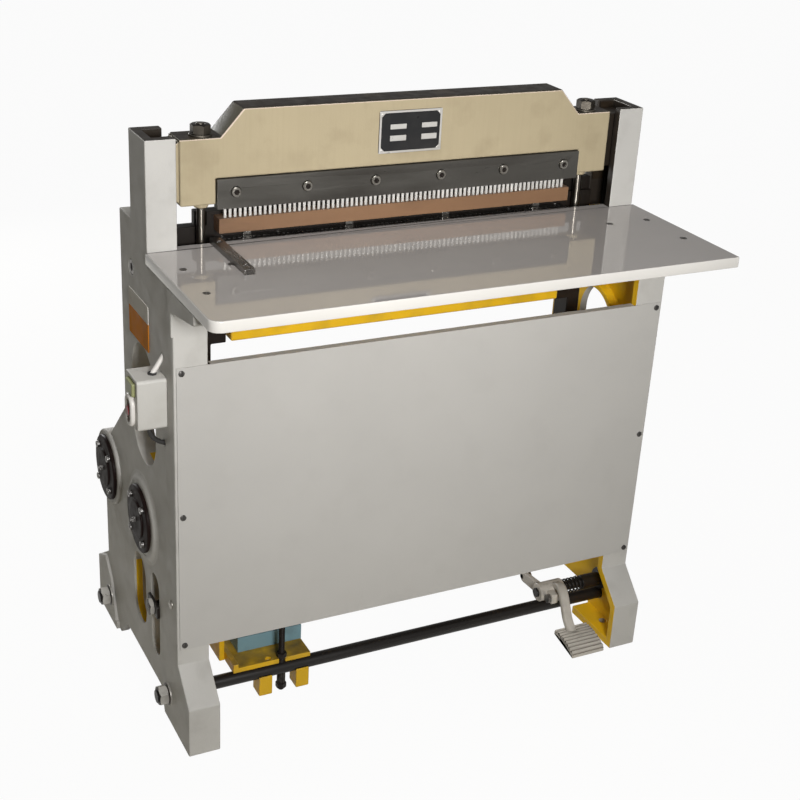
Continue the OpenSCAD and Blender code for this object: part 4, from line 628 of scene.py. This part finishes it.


# The motor plate's upward faces are browned, partly by dust and partly as painted shade.
dusty_shaded_yellow = coating("dusty_shaded_yellow", (0.76, 0.45, 0.010), rough=0.42, mottle=0.07, grime=0.3, soil=(0.12, 0.09, 0.04),
                       chips=0.4, second=[dust_and_shade])
softened("motor_plate", "frame", "yellow_paint", dusty_shaded_yellow, 0.0015, 3)
softened("rod_clamp", "frame", "yellow_paint", yellow_enamel, 0.002, 3)
softened("tension_arm", "frame", "yellow_paint", yellow_enamel, 0.0015)
stud_spot = (-242, 53, 0)
put("clamp_stud", [threaded(stud_spot, (0, 0, 1), 10, 150, 5.5, 1.75, 20),
                   hex_nut(stud_spot, (0, 0, 1), 78, 88, 9.35, 5.5), hex_nut(stud_spot, (0, 0, 1), 14, 24, 9.9, 5.5),
                   turned([(24, 5.6), (24, 7.7), (46, 7.7), (46, 5.6)], stud_spot, (0, 0, 1), 28, ring=True)],
    "frame", "dark_steel", black_enamel, "clamp_bolt")
head_steel = coating("head_steel", (0.42, 0.40, 0.36), rough=0.3, metal=1.0, grime=0.5, soil=(0.05, 0.045, 0.04))
slot_spot = (-450, 121, 194)
put("tension_washer", [plate(rectangle((94, 148), (181, 207), 5), -455, -450, "x", 0.8),
                       threaded(slot_spot, (-1, 0, 0), -40, 6, 9, 2.5, 24),
                       hex_nut(slot_spot, (-1, 0, 0), -38, -26, 15.75, 9)],
    "frame", "dark_steel", black_enamel, "tension_bolt")
# The bolt head's sideways faces carry painted shade.
put("tension_head", [hex_nut(slot_spot, (-1, 0, 0), 5, 13, 15.75, 3),
                     turned([(5, 3.1), (12.4, 3.1), (12.6, 0)], slot_spot, (-1, 0, 0), 24)],
    "frame", "bright_steel", nut_steel)
put("web_screw", [turned([(-6, 3), (0, 3), (0, 7.5), (1.6, 7.4), (3.4, 5.6), (4.2, 2.6), (4.4, 0)], (-450, 29, 251),
                         (-1, 0, 0), 28)], "frame", "bright_steel", head_steel)


# Drive belts: two black rubber V-belts in the grooves of motor pulley and flywheel.
# Each is a narrow section carried round both wheels and along their common tangents.

def drawn(path, section, reference, ring=False):
    """A section carried along a path, its first axis square to the path and to the reference direction."""
    path, section = np.asarray(path, float), np.asarray(section, float)
    along = (np.roll(path, -1, 0) - np.roll(path, 1, 0)) if ring else np.gradient(path, axis=0)
    along /= np.linalg.norm(along, axis=1, keepdims=True)
    side = np.cross(along, reference)
    side /= np.linalg.norm(side, axis=1, keepdims=True)
    over = np.cross(side, along)
    return skin(path[:, None] + section[:, :1] * side[:, None] + section[:, 1:] * over[:, None], ring)


black_rubber = coating("black_rubber", (0.022, 0.021, 0.02), rough=0.62, mottle=0.15, grime=0.35,
                       soil=(0.07, 0.06, 0.05))
wheel_low, wheel_high = np.array((150.0, 180.0)), np.array((counter_y, shaft_z))
radius_low, radius_high = 31.0, 105.0
apart = np.linalg.norm(wheel_high - wheel_low)
lean = np.arcsin((radius_high - radius_low) / apart)
line = np.arctan2(*(wheel_high - wheel_low)[::-1])
turn_low = np.linspace(line + np.pi / 2 + lean, line + 3 * np.pi / 2 - lean, 33)
turn_high = np.linspace(line - np.pi / 2 - lean, line + np.pi / 2 + lean, 65)
loop = np.concatenate((wheel_low + radius_low * np.stack((np.cos(turn_low), np.sin(turn_low)), 1),
                       wheel_high + radius_high * np.stack((np.cos(turn_high), np.sin(turn_high)), 1)))
belt_section = np.array([(-3.4, -3.6), (-3.9, -3.4), (-3.9, 3.4), (-3.4, 3.6), (3.4, 3.6), (3.8, 3.4), (3.8, -3.4),
                         (3.4, -3.6)]) * (1, 1.28)
put("v_belts", [drawn(np.insert(loop, 0, x, 1), belt_section, (1, 0, 0), True) for x in (-149, -131)],
    "frame", "black_rubber", black_rubber, "drive_belts")


# Die, stripper and rail: hardened bars with the same row of holes, the throat for the paper between them.
# The rail behind carries the stripper; four small bright stops in the throat set the paper's depth.

die_steel = coating("die_steel", (0.20, 0.19, 0.18), rough=0.32, metal=1.0, grime=0.5, soil=(0.03, 0.025, 0.02))
stripper_bronze = coating("stripper_bronze", (0.215, 0.118, 0.062), rough=0.38, mottle=0.16, grime=0.5,
                          soil=(0.09, 0.05, 0.03), stretch=(4, 1, 1), uneven=0.03)
rail_black = coating("rail_black", (0.012, 0.009, 0.007), rough=0.5, grime=0.3, soil=(0.03, 0.022, 0.016), gloss=0.2)
stop_steel = coating("stop_steel", (0.62, 0.60, 0.56), rough=0.24, metal=1.0, grime=0.25, soil=(0.15, 0.13, 0.10))
softened("die_plate", "frame", "dark_steel", die_steel, 0.0002)
softened("die_screws", "frame", "dark_steel", socket_steel, 0.0004)
softened("stripper_plate", "frame", "brown_paint", stripper_bronze, 0.0002)
softened("rear_rail", "frame", "black_paint", rail_black, 0.0012)
softened("back_stops", "frame", "bright_steel", stop_steel, 0.0008)


# Ram: a cream beam with sloped shoulders whose narrow ends run between bronze strips in the uprights.
# Its top, sloped shoulders and narrow ends carry painted shade, the top front edge a painted highlight, and its front
# shows long faint streaks from wiping.

def edge_highlight(maker, wirer, where):
    """A painted highlight: a line of light, pinkish colour along the rounded top edge of the front."""
    facing = spread_out(maker, wirer, where)[1]
    share = both(maker, wirer, within(maker, wirer, facing["Z"], 0.2, 0.551), below(maker, wirer, facing["Y"], -0.3))
    return (0.66, 0.54, 0.44), share


def shaded_slopes(maker, wirer, where):
    """Painted shade on the sloped shoulders: a dark, greyed tone."""
    facing = spread_out(maker, wirer, where)[1]
    return (0.10, 0.092, 0.068), within(maker, wirer, facing["Z"], 0.55, 0.801)


def shaded_ram_ends(maker, wirer, where):
    """Painted shade on the narrow ends that run in the uprights, wider on the right one."""
    place = spread_out(maker, wirer, where)[0]
    left, right = below(maker, wirer, place["X"], -0.401), above(maker, wirer, place["X"], 0.3912)
    return (0.02, 0.015, 0.011), sums(maker, wirer, "ADD|", left, right)


def wiped_streaks(maker, wirer, where):
    """Faint upright streaks, a few millimetres wide, of older and darker paint."""
    return (0.38, 0.315, 0.205), grain(maker, wirer, where.outputs["Object"], 0.005, 4, -0.2, 0.25, (1, 1, 40))


cream_enamel = coating("cream_enamel", (0.43, 0.36, 0.235), rough=0.42, mottle=0.04, grime=0.18,
                       soil=(0.20, 0.15, 0.09), gloss=0.2,
                       second=[wiped_streaks, edge_highlight, shaded_slopes, shaded_tops, shaded_ram_ends])
oiled_bronze = coating("oiled_bronze", (0.022, 0.015, 0.009), rough=0.45, gloss=0.2, grime=0.5,
                       soil=(0.02, 0.016, 0.012))
softened("ram_beam", "ram", "cream_paint", cream_enamel, 0.003, 3)
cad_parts["guide_strips"].data.materials.clear()
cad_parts["guide_strips"].data.materials.append(oiled_bronze)


# Nameplate: a thin black plate on the ram's front, with a bright rim that widens to a rivet at each corner.
# Its four bright fields are left blank.

plate_black = coating("plate_black", (0.018, 0.018, 0.019), rough=0.36, grime=0.2, soil=(0.06, 0.055, 0.05), gloss=0.25)
plate_silver = coating("plate_silver", (0.60, 0.58, 0.55), rough=0.34, metal=0.3, grime=0.25, soil=(0.3, 0.26, 0.2))
put("blank_nameplate", [plate(rectangle((954, 1024), (-57, 57), 3), 135.5, 137, "y", 0.3)], "ram", "black_paint",
    plate_black, "nameplate")
border = [plate(rectangle(a, b, 0.6), 135.1, 135.7, "y", 0.15) for a, b in
          (((954.4, 957.8), (-56.6, 56.6)), ((1020.2, 1023.6), (-56.6, 56.6)), ((957.4, 1020.6), (-56.6, -53.2)),
           ((957.4, 1020.6), (53.2, 56.6)))]
for up in (-1, 1):
    for side in (-1, 1):
        corner = np.array([(0, 0), (-7, 0), (0, -7)][::up * side]) * (up, side) + (989 + 31.5 * up, 53.5 * side)
        border.append(plate(corner, 135.1, 135.7, "y", 0.1))
rivets = [turned([(0, 2.2), (0.5, 2.0), (0.9, 1.2), (1.0, 0)], (x, 135.3, z), (0, -1, 0), 20)
          for x in (-51.5, 51.5) for z in (959.5, 1018.5)]
fields = [plate(rectangle((z, z + high), (x, x + wide), 0.8), 135.1, 135.7, "y", 0.15)
          for z, high in ((974, 9), (993.5, 8)) for x, wide in ((-37, 29), (20, 28))]
put("nameplate_border", border + rivets + fields, "ram", "bright_steel", plate_silver)


# Punch retainer and punches: a dark ground bar screwed into the ram's seat, and the row of square steel pins
# that it holds by their heads. Six socket screws with bright heads go through the bar; a black fill in each socket is
# painted shade.

slate_steel = coating("slate_steel", (0.10, 0.095, 0.085), rough=0.36, metal=0.6, mottle=0.1, grime=0.5,
                      soil=(0.035, 0.03, 0.025), stretch=(5, 1, 1))
pin_steel = coating("pin_steel", (0.80, 0.78, 0.74), rough=0.26, metal=0.35, mottle=0.1, grime=0.15,
                    soil=(0.3, 0.27, 0.22))
softened("punch_retainer", "ram", "dark_steel", slate_steel, 0.0008)
retainer_spots = [(((i - 2.5) * 120.5, 138, 911.88), (0, -1, 0)) for i in range(6)]
put("retainer_heads", [socket_head(*spot, 8, 0, 8) for spot in retainer_spots]
    + [turned([(-24, 4), (-23, 4.7), (0, 4.7)], *spot, 20) for spot in retainer_spots],
    "ram", "bright_steel", head_steel, "retainer_screws")
# A black hexagon in each screw's socket is painted shade.
put("retainer_sockets", [turned([(-1, six(3.9)), (6.0, six(3.9)), (6.1, 0)], *spot) for spot in retainer_spots],
    "ram", "dark_steel", black_enamel)
softened("punches", "ram", "bright_steel", pin_steel, 0.0004, 1)


# Work table: a thick plate on the frames and the bed, its top a smooth grey coat and its edges white.
# Slotted screws hold it down; a dark steel bar at the left guides the paper's side.

def white_edges(maker, wirer, where):
    """The table's white edge paint: what doesn't face straight up."""
    facing = spread_out(maker, wirer, where)[1]
    return (0.73, 0.705, 0.665), below(maker, wirer, facing["Z"], 0.8)


def slotted_head(centre, axis, radius, height, count=40):
    """A slotted screw head: a low dome of radius and height, sunk where it is near a line across it."""
    t = np.linspace(0, 2 * np.pi, count, endpoint=False)
    q = np.linspace(1, 0, 13)
    rows = [(0, radius), (0.35 * height, radius)]
    rows += [(height * (1 - 0.4 * s * s) - 0.45 * height * (np.abs(s * np.sin(t)) < 0.15), radius * s) for s in q]
    return turned(rows, centre, axis, count)


table_coat = coating("table_coat", (0.40, 0.375, 0.36), rough=0.05, mottle=0.03, grime=0.0, soil=(0.14, 0.12, 0.11),
                     second=[white_edges], coat=0.6, gloss=0.5, peel=0.000003, uneven=0.01)
table_line = [(-453, -181), (453, -181), (453, 122.7), (400, 122.7), (400, 142.7), (-400, 142.7), (-400, 122.7),
              (-453, 122.7)]
table_corners = np.array((18, 3, 1, 1, 1, 1, 1, 1))[:, None]
table_outline = eased(table_line, table_corners, True, 8)
put("table_plate", [plate(table_outline, 812, 830, "z", 1.6)], "frame", "table_steel", table_coat, "work_table")
screw_dark = coating("screw_dark", (0.10, 0.095, 0.09), rough=0.4, metal=0.8, grime=0.5, soil=(0.03, 0.028, 0.025))
table_heads = [slotted_head((side * x, y, 829.7), (0, 0, 1), 6, 0.9) for side in (-1, 1)
               for x, y in ((421, 36), (421, -70), (344, 36))]
table_heads += [slotted_head((-334.5, y, 836), (0, 0, 1), 5, 3.3) for y in (1, 117)]
put("table_heads", table_heads, "frame", "dark_steel", screw_dark, "table_screws")
guide_steel = coating("guide_steel", (0.20, 0.19, 0.18), rough=0.3, metal=1.0, grime=0.4, soil=(0.05, 0.045, 0.04),
                      stretch=(1, 8, 1))
softened("side_guide", "frame", "dark_steel", guide_steel, 0.0008)


# Front panel: a grey sheet with folded top and bottom edges on the frames' front flanges.
# Six small slotted screws hold it near its corners and half way up.

panel_enamel = coating("panel_enamel", (0.51, 0.495, 0.47), rough=0.5, mottle=0.02, grime=0.03, peel=0.0001, gloss=0.3)
softened("front_panel", "frame", "panel_paint", panel_enamel, 0.0006)
put("panel_heads", [slotted_head((side * 438, -1.9, z), (0, -1, 0), 5, 2.5) for side in (-1, 1)
                    for z in (678, 428.5, 187)], "frame", "dark_steel", screw_dark, "panel_screws")


# Pedal: a cast lever clamped on a shaft that turns in the right frame, its arm bent down to a ribbed tread.
# A wound spring round the shaft brings it back; a bolt pinches the hub on the shaft.

tread_front, tread_long, tread_ribs = -104, 66, 9


def dark_grooves(maker, wirer, where):
    """Dirt in the tread's nine grooves: a wave along the tread, on what faces upwards below the hub."""
    place, facing = spread_out(maker, wirer, where)
    along = sums(maker, wirer, "ADD", place["Y"], (origin_y - tread_front) / 1000)
    turn = sums(maker, wirer, "MULTIPLY", along, 2 * np.pi * tread_ribs * 1000 / tread_long)
    wave = sums(maker, wirer, "COSINE", sums(maker, wirer, "SUBTRACT", turn, np.pi))
    share = sums(maker, wirer, "SUBTRACT|", 0.25, sums(maker, wirer, "MULTIPLY", wave, 0.8))
    return (0.13, 0.105, 0.08), both(maker, wirer, share, above(maker, wirer, facing["Z"], 0.2),
                                     below(maker, wirer, place["Y"], -0.2505), below(maker, wirer, place["Z"], 0.066))


pedal_grey = coating("pedal_grey", (0.58, 0.54, 0.48), rough=0.42, grime=0.3, soil=(0.16, 0.135, 0.11), chips=0.5,
                     second=[dark_grooves])
along = np.linspace(0, 1, 109)
tread_line = np.stack((tread_front + tread_long * along, 46.5 + 13 * along + 24 * along * (1 - along)), 1)
ribs = np.clip(2.2 * np.cos(2 * np.pi * (tread_ribs * along - 0.5)) + 0.5, 0, 1)
tread_outline = np.concatenate((tread_line - (0, 6.5), (tread_line + np.stack((0 * ribs, 3.4 * ribs), 1))[::-1]))
lever_line = eased([(323, 47, 97), (321, 28, 113), (315, 4, 109), (303, -36, 74), (301, -58, 62)], 14, steps=8)
trip_outline = eased([(50, 78), (119.7, 73.9), (129.7, 83.9), (119.7, 93.9), (50, 102)], 6, True)
hub_rows = [(0, 9), (0, 16.4), (1.6, 18), (52.4, 18), (54, 16.4), (54, 9)]
put("cast_lever", [turned(hub_rows, (286, 50, 90), (1, 0, 0), ring=True),
                   plate(rectangle((14, 50), (80, 100), 4), 298, 312, "x", 1.5),
                   drawn(lever_line, rectangle((-6.5, 6.5), (-9, 9), 4.5), (1, 0, 0)),
                   plate(tread_outline, 274.5, 343.5, "x", 0.8), plate(trip_outline, 294, 304, "x", 1.5),
                   turned([(0, 5), (19.6, 5), (20.4, 4.2)], (294, 119.73, 83.9), (1, 0, 0), 28)],
    "pedal", "grey_iron", pedal_grey, "pedal_lever")
softened("pinch_bolt", "pedal", "dark_steel", socket_steel, 0.0006)
softened("pedal_shaft", "pedal", "black_paint", bar_black, 0.001)
softened("pedal_bearing", "frame", "black_paint", bar_black, 0.0012)
coil_turns, coil_radius, coil_start, coil_end = 5, 12.75, 342.05, 381.95
turns = np.linspace(0, coil_turns, 181)
wound = np.stack((coil_start + (coil_end - coil_start) * turns / coil_turns,
                  50 + coil_radius * np.cos(2 * np.pi * turns), 90 + coil_radius * np.sin(2 * np.pi * turns)), 1)
legs = np.array([(0, 0, 8), (0, 0, 4)])
wire_line = np.concatenate((wound[0] - legs, wound, wound[-1] + legs[::-1]))
section_turn = np.linspace(0, 2 * np.pi, 12, endpoint=False)
round_section = np.stack((np.cos(section_turn), np.sin(section_turn)), 1)
put("wound_spring", [drawn(wire_line, 1.7 * round_section, (1, 0, 0.001))], "frame", "dark_steel", bar_black,
    "pedal_spring")


# Clutch latch, link and pivot: the pedal lifts the link, which turns the latch out of the collar's way.
# Flat steel pieces with round eyes on plain pins.

softened("clutch_link", "link", "dark_steel", die_steel, 0.0006)
softened("clutch_latch", "latch", "dark_steel", die_steel, 0.0006)
softened("latch_pivot", "frame", "dark_steel", socket_steel, 0.0006)


# Switch box: a white moulded box on the left frame with a green start button, and a red stop button in a ring.
# A white tube leans from a gland in its top into the frame's window. A black cable goes from its bottom through
# the window and down the web, held by three clips, to the motor's terminal box.

box_white = coating("box_white", (0.55, 0.535, 0.50), rough=0.42, mottle=0.03, grime=0.18, soil=(0.30, 0.26, 0.20),
                    peel=0.00008)
softened("switch_box", "frame", "white_plastic", box_white, 0.002, 3)
button_green = coating("button_green", (0.30, 0.31, 0.15), rough=0.35, mottle=0.06, grime=0.2, soil=(0.1, 0.12, 0.05))
button_red = coating("button_red", (0.30, 0.014, 0.018), rough=0.33, mottle=0.06, grime=0.2, soil=(0.2, 0.03, 0.02))
softened("start_button", "start", "green_plastic", button_green, 0.0025, 3)
softened("stop_button", "stop", "red_plastic", button_red, 0.0015, 3)
ring_white = coating("ring_white", (0.78, 0.75, 0.71), rough=0.35, mottle=0.03, grime=0.12, soil=(0.4, 0.33, 0.28),
                     peel=0.00006)
oval = np.insert(rectangle((47, 74), (578, 624), 13.4), 0, -501, 1)
put("stop_ring", [drawn(oval, 4.4 * round_section, (1, 0, 0), True)], "frame", "white_plastic", ring_white)
lean_way = np.array((np.sin(np.radians(33)), 0, np.cos(np.radians(33))))
tube_spot = np.array((-466, 56, 658))
tube_line = tube_spot + np.array((-8, 0, 20, 44))[:, None] * lean_way
put("white_tube", [drawn(tube_line, 4 * round_section, (0, 1, 0))], "frame", "white_plastic", ring_white, "conduit")
put("tube_gland", [turned([(-0.5, 4.2), (-0.5, 7.2), (2.2, 7.2), (3.0, 6.2), (3.0, 4.2)], tube_spot, (0, 0, 1), 28,
                          ring=True)], "frame", "black_rubber", black_rubber)
cable_corners = [(-474, 53, 580), (-474, 53, 538), (-408, 53, 538), (-408, 53, 258), (-241, 53, 258),
                 (-241, 122, 258)]
cable_line = eased(cable_corners, 32, steps=14)
cable_piece = put("black_cable", [drawn(cable_line, 4 * round_section, (1, -1, 1.02))], "frame", "black_rubber",
                  black_rubber, "motor_cable")
clips = []
for z in (470, 370, 290):
    clips += [turned([(-5, 4.1), (-5, 5.4), (5, 5.4), (5, 4.1)], (-408, 53, z), (0, 0, 1), 24, ring=True),
              plate(rectangle((-434, -412), (50.5, 55.5), 1.5), z - 5, z + 5, "z", 0.4)]
put("cable_clips", clips, "frame", "dark_steel", socket_steel)


# Label: a thin blank plate on the left frame above the window, orange below and pale above.
# It is stuck on and rubbed along its edges.

def pale_band(maker, wirer, where):
    """The label's pale upper part."""
    place = spread_out(maker, wirer, where)[0]
    return (0.78, 0.75, 0.70), above(maker, wirer, place["Z"], 0.712)


label_orange = coating("label_orange", (0.75, 0.25, 0.008), rough=0.6, gloss=0.12, mottle=0.1, grime=0.3,
                       soil=(0.25, 0.12, 0.04), second=[pale_band])
put("blank_label", [plate(rectangle((121, 225), (664, 742), 3), -451.5, -450, "x", 0.3)], "frame", "orange_paint",
    label_orange, "label_plate")
